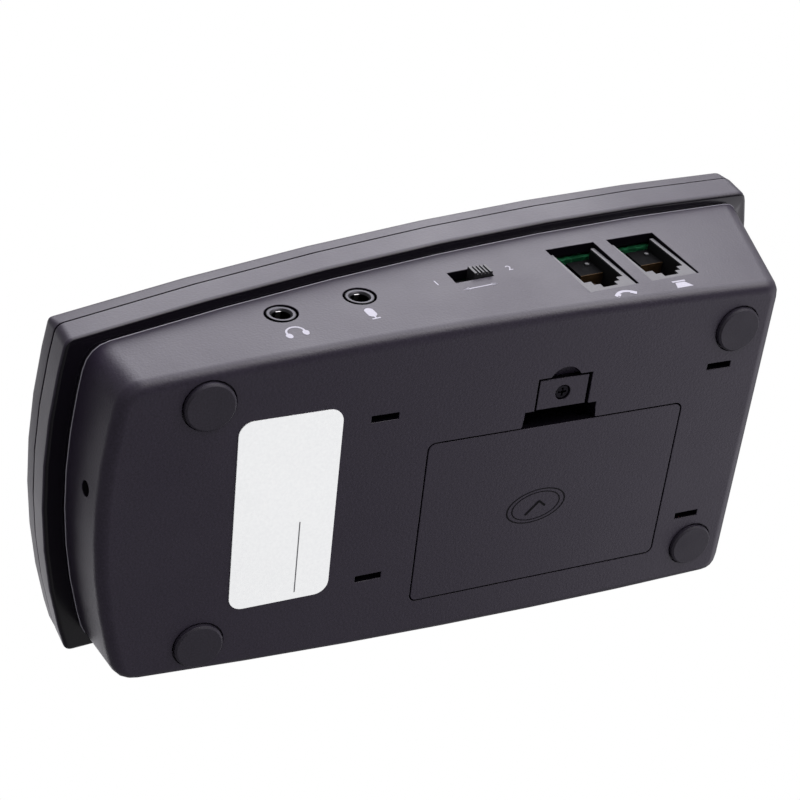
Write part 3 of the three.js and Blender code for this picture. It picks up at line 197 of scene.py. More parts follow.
def moulded(name, dark, light, gloss, relief, grain_scale=fine_grain, patch_scale=slow_patches):
    """Moulded plastic or rubber. dark and light are the two tones of its grain, gloss its two roughnesses,
    and relief the depth of the grain."""
    made, tree, shader = new_material(name)
    grain = add_grain(tree, grain_scale, patch_scale)
    drift = mixed(tree, patch_share, mapped(tree, grain["Specks"], *noise_span), grain["Patches"])
    feed(tree, shader, {
        "Base Color": mixed_colour(tree, drift, dark, light),
        "Roughness": mapped(tree, grain["Patches"], *noise_span, *gloss),
        "Normal": bumped(tree, grain["Height"], relief)})
    return made


def dress(material, *names):
    """Gives CAD nodes a material, which takes the place of the one that they came with."""
    for name in names:
        nodes[name].data.materials.clear()
        nodes[name].data.materials.append(material)


def merged_node(name):
    """A node's loose triangles joined to one surface, without the lines inside its flat faces."""
    surface = bmesh.new()
    surface.from_mesh(nodes[name].data)
    bmesh.ops.remove_doubles(surface, verts=surface.verts, dist=same_place)
    bmesh.ops.dissolve_limit(surface, angle_limit=flat_angle, verts=surface.verts, edges=surface.edges)
    return surface


def add_piece(name, surface, material, body):
    """Makes a piece of the surface, shaded smooth between its sharp edges, and lets it ride on the body."""
    mesh = bpy.data.meshes.new(name)
    surface.to_mesh(mesh)
    surface.free()
    mesh.materials.append(material)
    mesh.shade_smooth()
    mesh.set_sharp_from_angle(angle=sharp_angle)
    piece = bpy.data.objects.new(name, mesh)
    bpy.context.scene.collection.objects.link(piece)
    piece.modifiers.new("even_normals", "WEIGHTED_NORMAL").keep_sharp = True
    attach(piece, body)
    return piece


def faces_of(*names):
    """A search tree of some nodes' faces."""
    together = bmesh.new()
    for name in names:
        together.from_mesh(nodes[name].data)
    tree = BVHTree.FromBMesh(together)
    together.free()
    return tree


def round_edges(surface, edges, width, clamp=False):
    """Rounds edges in two steps."""
    bmesh.ops.bevel(
        surface, geom=edges, offset=width, offset_type="OFFSET", segments=2, profile=0.5,
        affect="EDGES", clamp_overlap=clamp, material=-1)


def mark_painted_shade_faces(surface, around):
    """Marks the faces that look onto one of the faces around, but not those that look up, for painted shade.
    """
    inner = surface.faces.layers.float.new("painted_shade_face")
    surface.normal_update()
    for face in surface.faces:
        start = face.calc_center_median() + face.normal * look_start
        met = around.ray_cast(start, face.normal, look_reach)[0]
        face[inner] = float(face.normal.z < level_up and met is not None)


def finished(name, body, material, edge_round, around=None):
    """Puts a finished moulding in a node's place: the same shape, with its sharp edges a little rounded,
    and the faces that look onto others marked for painted shade where the faces around it are given."""
    surface = merged_node(name)
    edges = [edge for edge in surface.edges
             if len(edge.link_faces) == 2 and edge.calc_face_angle(0.0) > worn_angle]
    round_edges(surface, edges, edge_round)
    if around:
        mark_painted_shade_faces(surface, around)
    dress(material, name)
    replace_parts(add_piece(f"{name}_moulding", surface, material, body), name)


housing_finish = {
    "dark": (0.0130, 0.0090, 0.0190), "light": (0.0230, 0.0165, 0.0330), "gloss": (0.40, 0.48),
    "relief": 0.00004, "grain_scale": 2100.0}
housing_edge = 0.00012
# Painted shade: faces that look onto other faces get this darker tone and the lower shine below.
housing_painted_shade = (0.0030, 0.0022, 0.0044)
outer_shine = 0.5
painted_shade_shine = 0.1


def paint_inner_shade(material, tone):
    """Paints shade on the marked faces that look onto others: a darker tone and less shine there."""
    tree, shader = opened(material)
    inner = add_node(
        tree, "ShaderNodeAttribute", attribute_type="GEOMETRY", attribute_name="painted_shade_face").outputs["Fac"]
    feed(tree, shader, {
        "Base Color": mixed_colour(tree, inner, fed(shader, "Base Color"), tone),
        "Specular IOR Level": mapped(tree, inner, 0.0, 1.0, outer_shine, painted_shade_shine)})


housing_plastic = moulded("housing_plastic", **housing_finish)
paint_inner_shade(housing_plastic, housing_painted_shade)
housing_faces = faces_of("bottom_shell", "rim_frame", "top_cover", "battery_door")
for shell, body in (("bottom_shell", "housing"), ("top_cover", "housing"), ("battery_door", "door")):
    finished(shell, body, housing_plastic, housing_edge, housing_faces)


# Rim frame: the same dark plastic with the same grain, but for its overhanging underside.
# That side is smooth and glossy, and painted shade makes it nearly black.
# Painted shade: the near-black tone of the faces that look down under the overhang.
rim_painted_shade_tone = (0.0035, 0.0026, 0.0050)
rim_smooth_gloss = 0.22
rim_turn = (-0.90, -0.55)            # the normal's Z where smooth faces end and grained ones start


def rim_material():
    """Housing plastic that is smooth wherever it faces down, and darker there as painted shade."""
    made = moulded("rim_plastic", **housing_finish)
    tree, shader = opened(made)
    facing = add_node(tree, "ShaderNodeTexCoord").outputs["Normal"]
    up = add_node(tree, "ShaderNodeSeparateXYZ", {"Vector": facing}).outputs["Z"]
    grain_and_unshaded = mapped(tree, up, *rim_turn)
    bump = fed(shader, "Normal").node
    tree.links.new(grain_and_unshaded, bump.inputs["Strength"])
    feed(tree, shader, {
        "Base Color": mixed_colour(tree, grain_and_unshaded, rim_painted_shade_tone, fed(shader, "Base Color")),
        "Roughness": mixed(tree, grain_and_unshaded, rim_smooth_gloss, fed(shader, "Roughness"))})
    return made


finished("rim_frame", "housing", rim_material(), housing_edge)


# Seam bead: a fine ridge all round, where the tub's lip meets the rim frame, whose pale tone is a painted
# highlight along the seam. It follows the tub's outer upper edge, half sunk in the wall, and stands out by
# an eighth of a millimetre.
lip_level = 0.8                      # the normal's Z on the lip, at least
lip_wall = (-0.6, 0.5)               # and on the wall below it, between these


def outer_lip(name):
    """The places along a tub's widest loop of edges between a face that looks up and a wall."""
    surface = merged_node(name)
    surface.normal_update()
    ways = {}
    for edge in surface.edges:
        heights = sorted(face.normal.z for face in edge.link_faces)
        if len(heights) == 2 and heights[1] > lip_level and lip_wall[0] < heights[0] < lip_wall[1]:
            for vert in edge.verts:
                ways.setdefault(vert, []).append(edge.other_vert(vert))
    start = max(ways, key=lambda vert: (round(vert.co.x, 5), vert.co.y))
    loop = [start, ways[start][0]]
    while loop[-1] is not start:
        here, before = loop[-1], loop[-2]
        loop.append(next(vert for vert in ways[here] if vert is not before))
    places = [vert.co.copy() for vert in loop[:-1]]
    surface.free()
    return places


bead_radius = 0.00012
# Pale tone as a painted highlight along the seam, far lighter than the housing plastic.
bead_painted_highlight = moulded(
    "bead_painted_highlight", dark=(0.15, 0.14, 0.17), light=(0.23, 0.22, 0.26), gloss=(0.42, 0.52), relief=0.00001)
bead_path = outer_lip("bottom_shell")
bead_curve = bpy.data.curves.new("seam_bead", "CURVE")
bead_curve.dimensions = "3D"
bead_curve.bevel_depth = bead_radius
bead_curve.bevel_resolution = 1
bead_line = bead_curve.splines.new("POLY")
bead_line.points.add(len(bead_path) - 1)
for point, place in zip(bead_line.points, bead_path):
    point.co = (*place, 1.0)
bead_line.use_cyclic_u = True
bead_tube = bpy.data.objects.new("seam_bead_line", bead_curve)
bead_surface = bmesh.new()
bead_surface.from_mesh(bead_tube.to_mesh())
bpy.data.objects.remove(bead_tube)
bpy.data.curves.remove(bead_curve)
add_piece("seam_bead", bead_surface, bead_painted_highlight, "housing")


# Feet and microphone boot: discs and a sleeve of dark synthetic rubber, pressed into their recesses.
# Rubber takes dust and hand marks, so its tone is a little more uneven than the housing's.
foot_edge = 0.00006
foot_rubber = moulded(
    "foot_rubber", dark=(0.0105, 0.0078, 0.0155), light=(0.0210, 0.0160, 0.0300), gloss=(0.52, 0.62),
    relief=0.00002, patch_scale=160.0)
for foot in ("foot_front_left", "foot_front_right", "foot_rear_left", "foot_rear_right"):
    finished(foot, "housing", foot_rubber, foot_edge)
dress(foot_rubber, "microphone_boot")


# Screws, battery contacts and microphone capsule: steel under a nickel plate, which is a little cloudy.
# The screws hold the housing and the board, and the contacts are pushed into the battery bay.
plate_grain = 5200.0
plate_clouds = 700.0
plate_relief = 0.00001
plate_scratches = 0.3


def plated(name, dark, light, gloss):
    """Plated metal with cloudy patches and fine scratches."""
    made, tree, shader = new_material(name)
    grain = add_grain(tree, plate_grain, plate_clouds)
    shader.inputs["Metallic"].default_value = 1.0
    feed(tree, shader, {
        "Base Color": mixed_colour(tree, grain["Patches"], dark, light),
        "Roughness": mapped(tree, grain["Patches"], *noise_span, *gloss),
        "Normal": bumped(tree, grain["Specks"], plate_relief, plate_scratches)})
    return made


nickel = plated("nickel_plating", dark=(0.50, 0.48, 0.47), light=(0.70, 0.69, 0.67), gloss=(0.22, 0.38))
dress(
    nickel, "microphone_capsule",
    "battery_spring_1", "battery_spring_2", "battery_plate_1", "battery_plate_2",
    *[f"board_screw_{number}" for number in range(1, 5)],
    *[f"housing_screw_{place}" for place in ("front_left", "front_right", "rear_left", "rear_right")],
)


# Door screw: steel with a black oxide finish.
# It is turned into its boss through the latch tongue, with its head flush in the tongue.
black_oxide = plated(
    "black_oxide", dark=(0.010, 0.009, 0.012), light=(0.026, 0.024, 0.030), gloss=(0.34, 0.50))
dress(black_oxide, "door_screw")


# Jacks, switch, loudspeaker frame and chip: black moulded plastic, smoother than the housing.
# All but the loudspeaker are soldered to the main board, and jacks and switch reach the side wall.
knob_edge = 0.00006
black_plastic = moulded(
    "black_plastic", dark=(0.010, 0.010, 0.011), light=(0.022, 0.021, 0.024), gloss=(0.30, 0.42),
    relief=0.00001)
dress(black_plastic, "headphone_jack", "microphone_jack", "source_switch", "loudspeaker", "processor_chip")
finished("source_switch_knob", "switch_knob", black_plastic, knob_edge)


# Telephone sockets: black moulded boxes, soldered to the main board.
# Their combed faces, just inside the wall, are grey, and everything behind them is painted black as shade.
socket_edge = 0.00005
socket_face = 0.03765                # the X behind which a socket is painted black as shade
shade_fade = 0.0001                 # the painted shade fades in over this way
# Black painted as shade, deep in the sockets and in the jack noses.
painted_shade_black = (0.004, 0.004, 0.005)
socket_dull = 0.62


def object_axes(tree):
    """The X, Y and Z of each point of the piece."""
    return add_node(tree, "ShaderNodeSeparateXYZ", {"Vector": object_place(tree)}).outputs


def socket_material():
    """Grey plastic on the face, and black painted as shade behind it."""
    made = moulded(
        "socket_plastic", dark=(0.040, 0.039, 0.045), light=(0.062, 0.060, 0.068), gloss=(0.34, 0.46),
        relief=0.00001)
    tree, shader = opened(made)
    unshaded_face = mapped(tree, object_axes(tree)["X"], socket_face - shade_fade, socket_face)
    feed(tree, shader, {
        "Base Color": mixed_colour(tree, unshaded_face, painted_shade_black, fed(shader, "Base Color")),
        "Roughness": mixed(tree, unshaded_face, socket_dull, fed(shader, "Roughness"))})
    return made


socket_plastic = socket_material()
for socket in ("handset_socket", "line_socket"):
    finished(socket, "housing", socket_plastic, socket_edge)


# Jack noses: turned sleeves of darkened nickel plate, one in each round hole of the side wall.
# Only the flat of the ring shows the plate: its edge and bore are painted black as shade.
# A spring leaf shows at the bore's top.
nose_edge = 0.0001
ring_starts = (0.00186, 0.00192)     # radii over which the bore's painted shade ends
ring_ends = (0.00274, 0.00280)       # and over which the edge's painted shade begins
leaf_width = 0.0011
leaf_sheet = 0.00018
leaf_reach = 0.0016
leaf_height = 0.00155
leaf_setback = 0.0011
leaf_lean = math.radians(5.0)


def computed(tree, operation, first, second):
    """A sum, product or comparison of two numbers."""
    return add_node(tree, "ShaderNodeMath", {0: first, 1: second}, operation=operation).outputs["Value"]


def nose_material(name, axis_y, axis_z):
    """Dark nickel on a ring about an axis along X, and black painted as shade inside and outside the ring.
    """
    made = plated(name, dark=(0.045, 0.044, 0.050), light=(0.075, 0.073, 0.082), gloss=(0.34, 0.46))
    tree, shader = opened(made)
    axes = object_axes(tree)
    across = add_node(tree, "ShaderNodeCombineXYZ", {"Y": axes["Y"], "Z": axes["Z"]}).outputs["Vector"]
    centred = add_node(
        tree, "ShaderNodeVectorMath", {0: across, 1: (0.0, axis_y, axis_z)}, operation="SUBTRACT")
    radius = add_node(
        tree, "ShaderNodeVectorMath", {0: centred.outputs["Vector"]}, operation="LENGTH").outputs["Value"]
    # The bore inside the ring and the edge outside it are painted black as shade.
    inside = mapped(tree, radius, *ring_starts)
    outside = mapped(tree, radius, *ring_ends, 1.0, 0.0)
    ring = computed(tree, "MULTIPLY", inside, outside)
    feed(tree, shader, {"Base Color": mixed_colour(tree, ring, painted_shade_black, fed(shader, "Base Color"))})
    return made


for jack in ("headphone_jack_nose", "microphone_jack_nose"):
    low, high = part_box(jack)
    nose = (low + high) / 2
    finished(jack, "housing", nose_material(f"{jack}_plating", nose.y, nose.z), nose_edge)
    leaf = bmesh.new()
    leaf_place = Matrix.Translation((high.x - leaf_setback, nose.y, nose.z + leaf_height))
    leaf_turn = Matrix.Rotation(leaf_lean, 4, "Y")
    leaf_size = Matrix.Diagonal((leaf_reach, leaf_width, leaf_sheet, 1.0))
    bmesh.ops.create_cube(leaf, size=1.0, matrix=leaf_place @ leaf_turn @ leaf_size)
    round_edges(leaf, leaf.edges[:], leaf_sheet / 4, clamp=True)
    add_piece(f"{jack}_leaf", leaf, nickel, "housing")


# Socket contacts: four gold-plated spring wires under a black moulded carrier, which a round peg locks.
# The wires are the lowest part of each carrier, and carrier and wires climb with the board.
carrier_climb = 0.085                # rise per length
wire_height = 0.01588                # the wires' top where Y is 0
# Painted shade: carrier and wires are far darker than black plastic and gold, and the carrier shines less.
shaded_carrier_dark = (0.0015, 0.0015, 0.0020)
shaded_carrier_light = (0.0035, 0.0035, 0.0040)
shaded_gold_dark = (0.05, 0.028, 0.013)
shaded_gold_light = (0.20, 0.125, 0.065)
contact_gloss = (0.64, 0.78)
shaded_contact_shine = 0.05

peg_radius = 0.00075
peg_height = 0.0007
peg_dome = 0.00055
peg_curve = ((0.75, 0.7), (0.4, 0.93))    # shares of radius and dome along the dome's side
peg_steps = 20
peg_from_rear = 0.0017
peg_below_top = 0.0023


def contact_material():
    """Black plastic, and gold plate below a plane that climbs towards the rear, both darkened as painted
    shade.
    """
    made, tree, shader = new_material("socket_contacts")
    axes = object_axes(tree)
    level = computed(tree, "SUBTRACT", axes["Z"], computed(tree, "MULTIPLY", axes["Y"], carrier_climb))
    wire = computed(tree, "LESS_THAN", level, wire_height)
    grain = add_grain(tree, patch_scale=plate_clouds)
    black = mixed_colour(tree, grain["Specks"], shaded_carrier_dark, shaded_carrier_light)
    gold = mixed_colour(tree, grain["Patches"], shaded_gold_dark, shaded_gold_light)
    shader.inputs["Specular IOR Level"].default_value = shaded_contact_shine
    feed(tree, shader, {
        "Base Color": mixed_colour(tree, wire, black, gold),
        "Roughness": mapped(tree, grain["Patches"], *noise_span, *contact_gloss),
        "Metallic": wire})
    return made


dress(contact_material(), "handset_socket_contacts", "line_socket_contacts")
for socket in ("handset_socket", "line_socket"):
    low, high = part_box(f"{socket}_contacts")
    peg = bmesh.new()
    profile = [peg.verts.new(at) for at in (
        (0.0, peg_radius, -peg_height), (0.0, peg_radius, 0.0),
        *((0.0, peg_radius * across, peg_dome * along) for across, along in peg_curve))]
    steps = [peg.edges.new(pair) for pair in zip(profile, profile[1:])]
    bmesh.ops.spin(
        peg, geom=[*profile, *steps], cent=(0.0, 0.0, 0.0), axis=(0.0, 0.0, 1.0), angle=math.tau,
        steps=peg_steps, use_merge=True)
    bmesh.ops.holes_fill(peg, edges=peg.edges)
    bmesh.ops.recalc_face_normals(peg, faces=peg.faces)
    peg_place = Matrix.Translation((high.x, high.y - peg_from_rear, high.z - peg_below_top))
    bmesh.ops.transform(peg, matrix=peg_place @ Matrix.Rotation(math.pi / 2, 4, "Y"), verts=peg.verts)
    add_piece(f"{socket}_peg", peg, black_plastic, "housing")


# Marks beside the holes: printed on the side wall in one pale grey ink, about two hundredths thick.
# Headphones, a microphone, a handset and a telephone name the holes, and 1 and 2 the switch's two ends.
ink_depth = 0.00002
ink_relief = 0.000003
layer_step = 0.0000005               # shapes of one artwork lie this far above one another
curve_steps = 28
print_reach = 0.03                   # artwork is laid on a surface from this far off


def next_layer(art):
    """How far the next shape of an artwork lies above those before it, so that no two share a plane."""
    return len(art.faces) * layer_step


def art_bar(art, u, v, width, height, turn=0.0):
    """A straight bar in the flat artwork, with its middle at (u, v)."""
    place = Matrix.Translation((u, v, next_layer(art))) @ Matrix.Rotation(turn, 4, "Z")
    size = Matrix.Diagonal((width, height, 1.0, 1.0))
    bmesh.ops.create_grid(art, x_segments=1, y_segments=1, size=0.5, matrix=place @ size)


def art_disc(art, u, v, radius, stretch=1.0):
    """A disc or oval in the flat artwork, stretched along v."""
    place = Matrix.Translation((u, v, next_layer(art))) @ Matrix.Diagonal((1.0, stretch, 1.0, 1.0))
    bmesh.ops.create_circle(art, cap_ends=True, segments=curve_steps, radius=radius, matrix=place)


def art_arc(art, u, v, inner, outer, start, sweep):
    """A bent band in the flat artwork, between two radii and from one direction through an angle."""
    way = Vector((math.cos(start), math.sin(start), 0.0))
    middle = Vector((u, v, next_layer(art)))
    ends = [art.verts.new(middle + way * radius) for radius in (inner, outer)]
    bmesh.ops.spin(
        art, geom=[*ends, art.edges.new(ends)], cent=middle, axis=(0.0, 0.0, 1.0), angle=sweep,
        steps=curve_steps, use_merge=sweep >= math.tau)


def art_patch(art, *corners):
    """A flat patch in the artwork with the given corners."""
    layer = next_layer(art)
    art.faces.new([art.verts.new((u, v, layer)) for u, v in corners])


def art_figure(art, figure, height):
    """A numeral in the middle of the artwork. Its outline is made a mesh before it is placed."""
    curve = bpy.data.curves.new("figure", "FONT")
    curve.body = figure
    curve.size = height
    curve.align_x = "CENTER"
    curve.align_y = "CENTER"
    writing = bpy.data.objects.new("figure", curve)
    art.from_mesh(bpy.data.meshes.new_from_object(writing))
    bpy.data.objects.remove(writing)
    bpy.data.curves.remove(curve)


def printed(name, art, carrier, body, material, place, right, up, depth=ink_depth):
    """Lays flat artwork on a node's surface as a thin closed film. right and up are the artwork's axes."""
    out = right.cross(up)
    carried = merged_node(carrier)
    surface = BVHTree.FromBMesh(carried)
    carried.free()
    for corner in art.verts:
        start = place + right * corner.co.x + up * corner.co.y + out * print_reach
        corner.co = surface.ray_cast(start, -out)[0] + out * (depth + corner.co.z)
    bmesh.ops.solidify(art, geom=art.faces[:], thickness=depth)
    bmesh.ops.recalc_face_normals(art, faces=art.faces)
    return add_piece(name, art, material, body)


pale_ink = moulded(
    "pale_ink", dark=(0.33, 0.32, 0.38), light=(0.43, 0.42, 0.48), gloss=(0.50, 0.60), relief=ink_relief)
baseline_climb = math.radians(5.0)
wall_right = Vector((0.0, math.cos(baseline_climb), math.sin(baseline_climb)))
wall_up = Vector((0.0, -math.sin(baseline_climb), math.cos(baseline_climb)))
wall_x = 0.038


def wall_mark(name, art, y, z):
    """Prints an artwork on the side wall, with its middle at (y, z)."""
    place = Vector((wall_x, y, z))
    printed(name, art, "bottom_shell", "housing", pale_ink, place, wall_right, wall_up)


headphones = bmesh.new()
art_arc(
    headphones, 0.0, 0.0, inner=0.00160, outer=0.00200, start=math.radians(-15.0),
    sweep=math.radians(210.0))
for side in (-1.0, 1.0):
    art_disc(headphones, side * 0.00170, -0.00095, radius=0.00062, stretch=1.45)
    art_disc(headphones, side * 0.00195, -0.00080, radius=0.00045, stretch=1.35)
wall_mark("headphone_mark", headphones, y=-0.0423, z=0.0090)

microphone = bmesh.new()
art_bar(microphone, 0.0, 0.00080, width=0.00190, height=0.00150)
art_disc(microphone, 0.0, 0.00150, radius=0.00095)
art_disc(microphone, 0.0, 0.00010, radius=0.00095)
art_bar(microphone, 0.0, -0.00115, width=0.00034, height=0.00070)
art_bar(microphone, 0.0, -0.00160, width=0.00180, height=0.00034)
wall_mark("microphone_mark", microphone, y=-0.02565, z=0.01045)

handset = bmesh.new()
art_arc(
    handset, 0.0, -0.00240, inner=0.00250, outer=0.00325, start=math.radians(42.0),
    sweep=math.radians(96.0))
for side in (-1.0, 1.0):
    ear_turn = -side * math.radians(40.0)
    art_bar(handset, side * 0.00200, -0.00055, width=0.00135, height=0.00110, turn=ear_turn)
wall_mark("handset_mark", handset, y=0.02825, z=0.0047)

telephone = bmesh.new()
art_patch(telephone, (-0.0021, -0.0013), (0.0021, -0.0013), (0.0012, 0.0007), (-0.0012, 0.0007))
art_bar(telephone, 0.0, 0.0012, width=0.0034, height=0.0005)
wall_mark("telephone_mark", telephone, y=0.0427, z=0.0052)

figure_height = 0.0026
for figure, figure_y, figure_z in (("1", -0.0081, 0.0181), ("2", 0.0096, 0.0200)):
    numeral = bmesh.new()
    art_figure(numeral, figure, figure_height)
    wall_mark(f"switch_figure_{figure}", numeral, figure_y, figure_z)

slide_arrow = bmesh.new()
art_bar(slide_arrow, 0.0, 0.0, width=0.0056, height=0.00028)
for side in (-1.0, 1.0):
    art_patch(slide_arrow, (side * 0.0026, 0.00065), (side * 0.0042, 0.0), (side * 0.0026, -0.00065))
wall_mark("switch_slide_mark", slide_arrow, y=0.00015, z=0.01445)


# Mark on the battery door: a double oval with a tick, pad printed in an ink darker than the plastic.
# It lies near the middle of the door, and it turns with the door.
faint_ink = moulded(
    "faint_ink", dark=(0.0015, 0.0010, 0.0022), light=(0.0030, 0.0022, 0.0042), gloss=(0.50, 0.60),
    relief=ink_relief)
faint_shine = 0.12
opened(faint_ink)[1].inputs["Specular IOR Level"].default_value = faint_shine
badge_place = Vector((-0.00893, 0.0129, 0.001))
badge_long = Vector((-0.130, -0.992, 0.0)).normalized()
badge_out = Vector((0.0, 0.0, -1.0))
badge_half_length = 0.00716
badge_half_width = 0.00417
badge_line = 0.00035
badge_rings = ((1.0, 0.0), (4.4, 3.6))    # how many lines in from the edge each oval's two sides lie
tick_width = 0.00050

badge = bmesh.new()
for inner_side, outer_side in badge_rings:
    art_arc(
        badge, 0.0, 0.0, inner=badge_half_length - badge_line * inner_side,
        outer=badge_half_length - badge_line * outer_side, start=0.0, sweep=math.tau)
bmesh.ops.scale(badge, vec=(1.0, badge_half_width / badge_half_length, 1.0), verts=badge.verts)
art_bar(badge, -0.00150, -0.00020, width=0.00220, height=tick_width, turn=math.radians(-48.0))
art_bar(badge, 0.00090, 0.00040, width=0.00430, height=tick_width, turn=math.radians(38.0))
printed(
    "door_badge", badge, "battery_door", "door", faint_ink, badge_place, badge_long,
    badge_out.cross(badge_long))


# Circuit boards: woven glass laminate under a green solder mask.
# The copper tracks below the mask show paler and stand out a little, and the weave makes its gloss uneven.
mask_green = (0.003, 0.036, 0.014)
track_green = (0.010, 0.085, 0.035)
track_scale = 420.0
track_order = 0.75
track_edges = (0.12, 0.18)
track_relief = 0.00003
weave_scale = 900.0
track_bump = 0.6
board_gloss = (0.22, 0.42)


def board_material():
    """Green mask over tracks that run along the borders of square cells."""
    made, tree, shader = new_material("board_laminate")
    place = object_place(tree)
    sockets = {"Vector": place, "Scale": track_scale, "Randomness": track_order}
    near, next_near = (
        add_node(tree, "ShaderNodeTexVoronoi", sockets, distance="MANHATTAN", feature=order)
        for order in ("F1", "F2"))
    gap = computed(tree, "SUBTRACT", next_near.outputs["Distance"], near.outputs["Distance"])
    track = mapped(tree, gap, *track_edges, 1.0, 0.0)
    weave = add_node(tree, "ShaderNodeTexNoise", {"Vector": place, "Scale": weave_scale, "Detail": 1.0})
    feed(tree, shader, {
        "Base Color": mixed_colour(tree, track, mask_green, track_green),
        "Roughness": mapped(tree, weave.outputs["Fac"], 0.0, 1.0, *board_gloss),
        "Normal": bumped(tree, track, track_relief, track_bump)})
    return made


dress(board_material(), "main_board", "control_board")


# Blank label: white satin film, die cut with round corners and stuck to the underside.
# A thin grey rule is printed along part of it.
label_edge = 0.00003
label_film = moulded(
    "label_film", dark=(0.86, 0.87, 0.88), light=(0.94, 0.95, 0.95), gloss=(0.38, 0.48), relief=0.000004,
    grain_scale=1500.0)
finished("blank_label", "housing", label_film, label_edge)

rule_ink = moulded(
    "rule_ink", dark=(0.080, 0.078, 0.085), light=(0.130, 0.128, 0.140), gloss=(0.45, 0.55),
    relief=ink_relief)
rule_length = 0.01725
rule_width = 0.00025
rule_depth = 0.00001
rule_place = Vector((-0.01053, -0.04188, 0.0008))
rule = bmesh.new()
art_bar(rule, 0.0, 0.0, rule_length, rule_width)
printed(
    "label_rule", rule, "blank_label", "housing", rule_ink, rule_place,
    Vector((1.0, 0.0, 0.0)), Vector((0.0, -1.0, 0.0)), rule_depth)


# Keys: nine caps of dark grey plastic, a shade lighter than the cover that they stand in.
# Each carries a printed sign for what it does, and a fine round runs along its edges.
key_edge = 0.00012
key_plastic = moulded(
    "key_plastic", dark=(0.060, 0.060, 0.068), light=(0.085, 0.085, 0.095), gloss=(0.36, 0.46),
    relief=0.00001)
key_ink = moulded(
    "key_ink", dark=(0.50, 0.49, 0.54), light=(0.62, 0.61, 0.66), gloss=(0.50, 0.60), relief=ink_relief)
red_ink = moulded(
    "red_ink", dark=(0.52, 0.020, 0.018), light=(0.62, 0.035, 0.030), gloss=(0.45, 0.55), relief=ink_relief)
key_right = Vector((1.0, 0.0, 0.0))
key_up = Vector((0.0, 1.0, 0.0))
arrow_length = 0.0019
arrow_half = 0.00125
stop_width = 0.0004
bar_width = 0.0005
bar_height = 0.0025
plus_length = 0.0027
stroke = 0.00046
eighth_turn = math.radians(45.0)


def arrow(art, u, way):
    """A filled arrow head in the artwork, from u towards way."""
    art_patch(art, (u, arrow_half), (u + way * arrow_length, 0.0), (u, -arrow_half))


def previous_sign(art):
    art_bar(art, -0.0023, 0.0, stop_width, bar_height)
    arrow(art, 0.0001, -1.0)
    arrow(art, 0.0022, -1.0)


def play_sign(art):
    arrow(art, -0.0023, 1.0)
    art_bar(art, 0.00095, 0.0, bar_width, bar_height)
    art_bar(art, 0.0020, 0.0, bar_width, bar_height)


def next_sign(art):
    art_bar(art, 0.0023, 0.0, stop_width, bar_height)
    arrow(art, -0.0001, 1.0)
    arrow(art, -0.0022, 1.0)


def menu_sign(art):
    for line_v in (-0.0010, 0.0, 0.0010):
        art_bar(art, 0.0, line_v, width=0.0036, height=0.0004)


def confirm_sign(art):
    art_bar(art, -0.00095, -0.00040, 0.00170, stroke, -eighth_turn)
    art_bar(art, 0.00065, 0.00010, 0.00310, stroke, eighth_turn)


def delete_sign(art):
    for turn in (eighth_turn, -eighth_turn):
        art_bar(art, 0.0, 0.0, 0.0031, stroke, turn)


def minus_sign(art):
    art_bar(art, 0.0, 0.0, plus_length, bar_width)


def record_sign(art):
    art_disc(art, 0.0, 0.0, radius=0.0014)


def plus_sign(art):
    minus_sign(art)
    art_bar(art, 0.0, 0.0, bar_width, plus_length)


for key, draw, ink in (
        ("previous", previous_sign, key_ink), ("play", play_sign, key_ink), ("next", next_sign, key_ink),
        ("menu", menu_sign, key_ink), ("confirm", confirm_sign, key_ink), ("delete", delete_sign, key_ink),
        ("volume_down", minus_sign, key_ink), ("record", record_sign, red_ink),
        ("volume_up", plus_sign, key_ink)):
    cap = f"{key}_key"
    finished(cap, f"key_{key}", key_plastic, key_edge)
    low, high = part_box(cap)
    sign = bmesh.new()
    draw(sign)
    sign_place = Vector(((low.x + high.x) / 2, (low.y + high.y) / 2, high.z))
    printed(f"{cap}_sign", sign, cap, f"key_{key}", ink, sign_place, key_right, key_up)


# Key mat: one sheet of translucent silicone rubber, moulded with a dome under each key.
# It lies on the control board, and its domes push the keys back up.
silicone = moulded(
    "silicone", dark=(0.52, 0.53, 0.55), light=(0.66, 0.67, 0.69), gloss=(0.5, 0.6), relief=0.00001)
dress(silicone, "key_mat")


# Capacitor: an aluminium can in a dark blue shrink sleeve.
# It stands on the main board, which it is soldered to.
sleeve = moulded(
    "capacitor_sleeve", dark=(0.012, 0.020, 0.055), light=(0.018, 0.030, 0.075), gloss=(0.3, 0.4),
    relief=0.00001)
dress(sleeve, "capacitor")


# Line transformer: a varnished stack of steel sheets around a taped winding.
# It is soldered to the main board, near the telephone sockets.
core = moulded(
    "varnished_core", dark=(0.16, 0.12, 0.03), light=(0.28, 0.21, 0.06), gloss=(0.3, 0.45),
    relief=0.00002)
dress(core, "line_transformer")


# Batteries: two AA cells, each a steel can in a printed plastic jacket with a copper-coloured band.
# Jacket and band stop short of the ends, where the bare can shows.
cell_edge = 0.0001
jacket_margin = 0.0016
band_width = 0.012
band_copper = (0.42, 0.17, 0.07)
can_steel = (0.62, 0.61, 0.59)


def between(tree, value, low, high):
    """1 where the value lies between low and high, and 0 elsewhere."""
    above = computed(tree, "GREATER_THAN", value, low)
    return computed(tree, "MULTIPLY", above, computed(tree, "LESS_THAN", value, high))


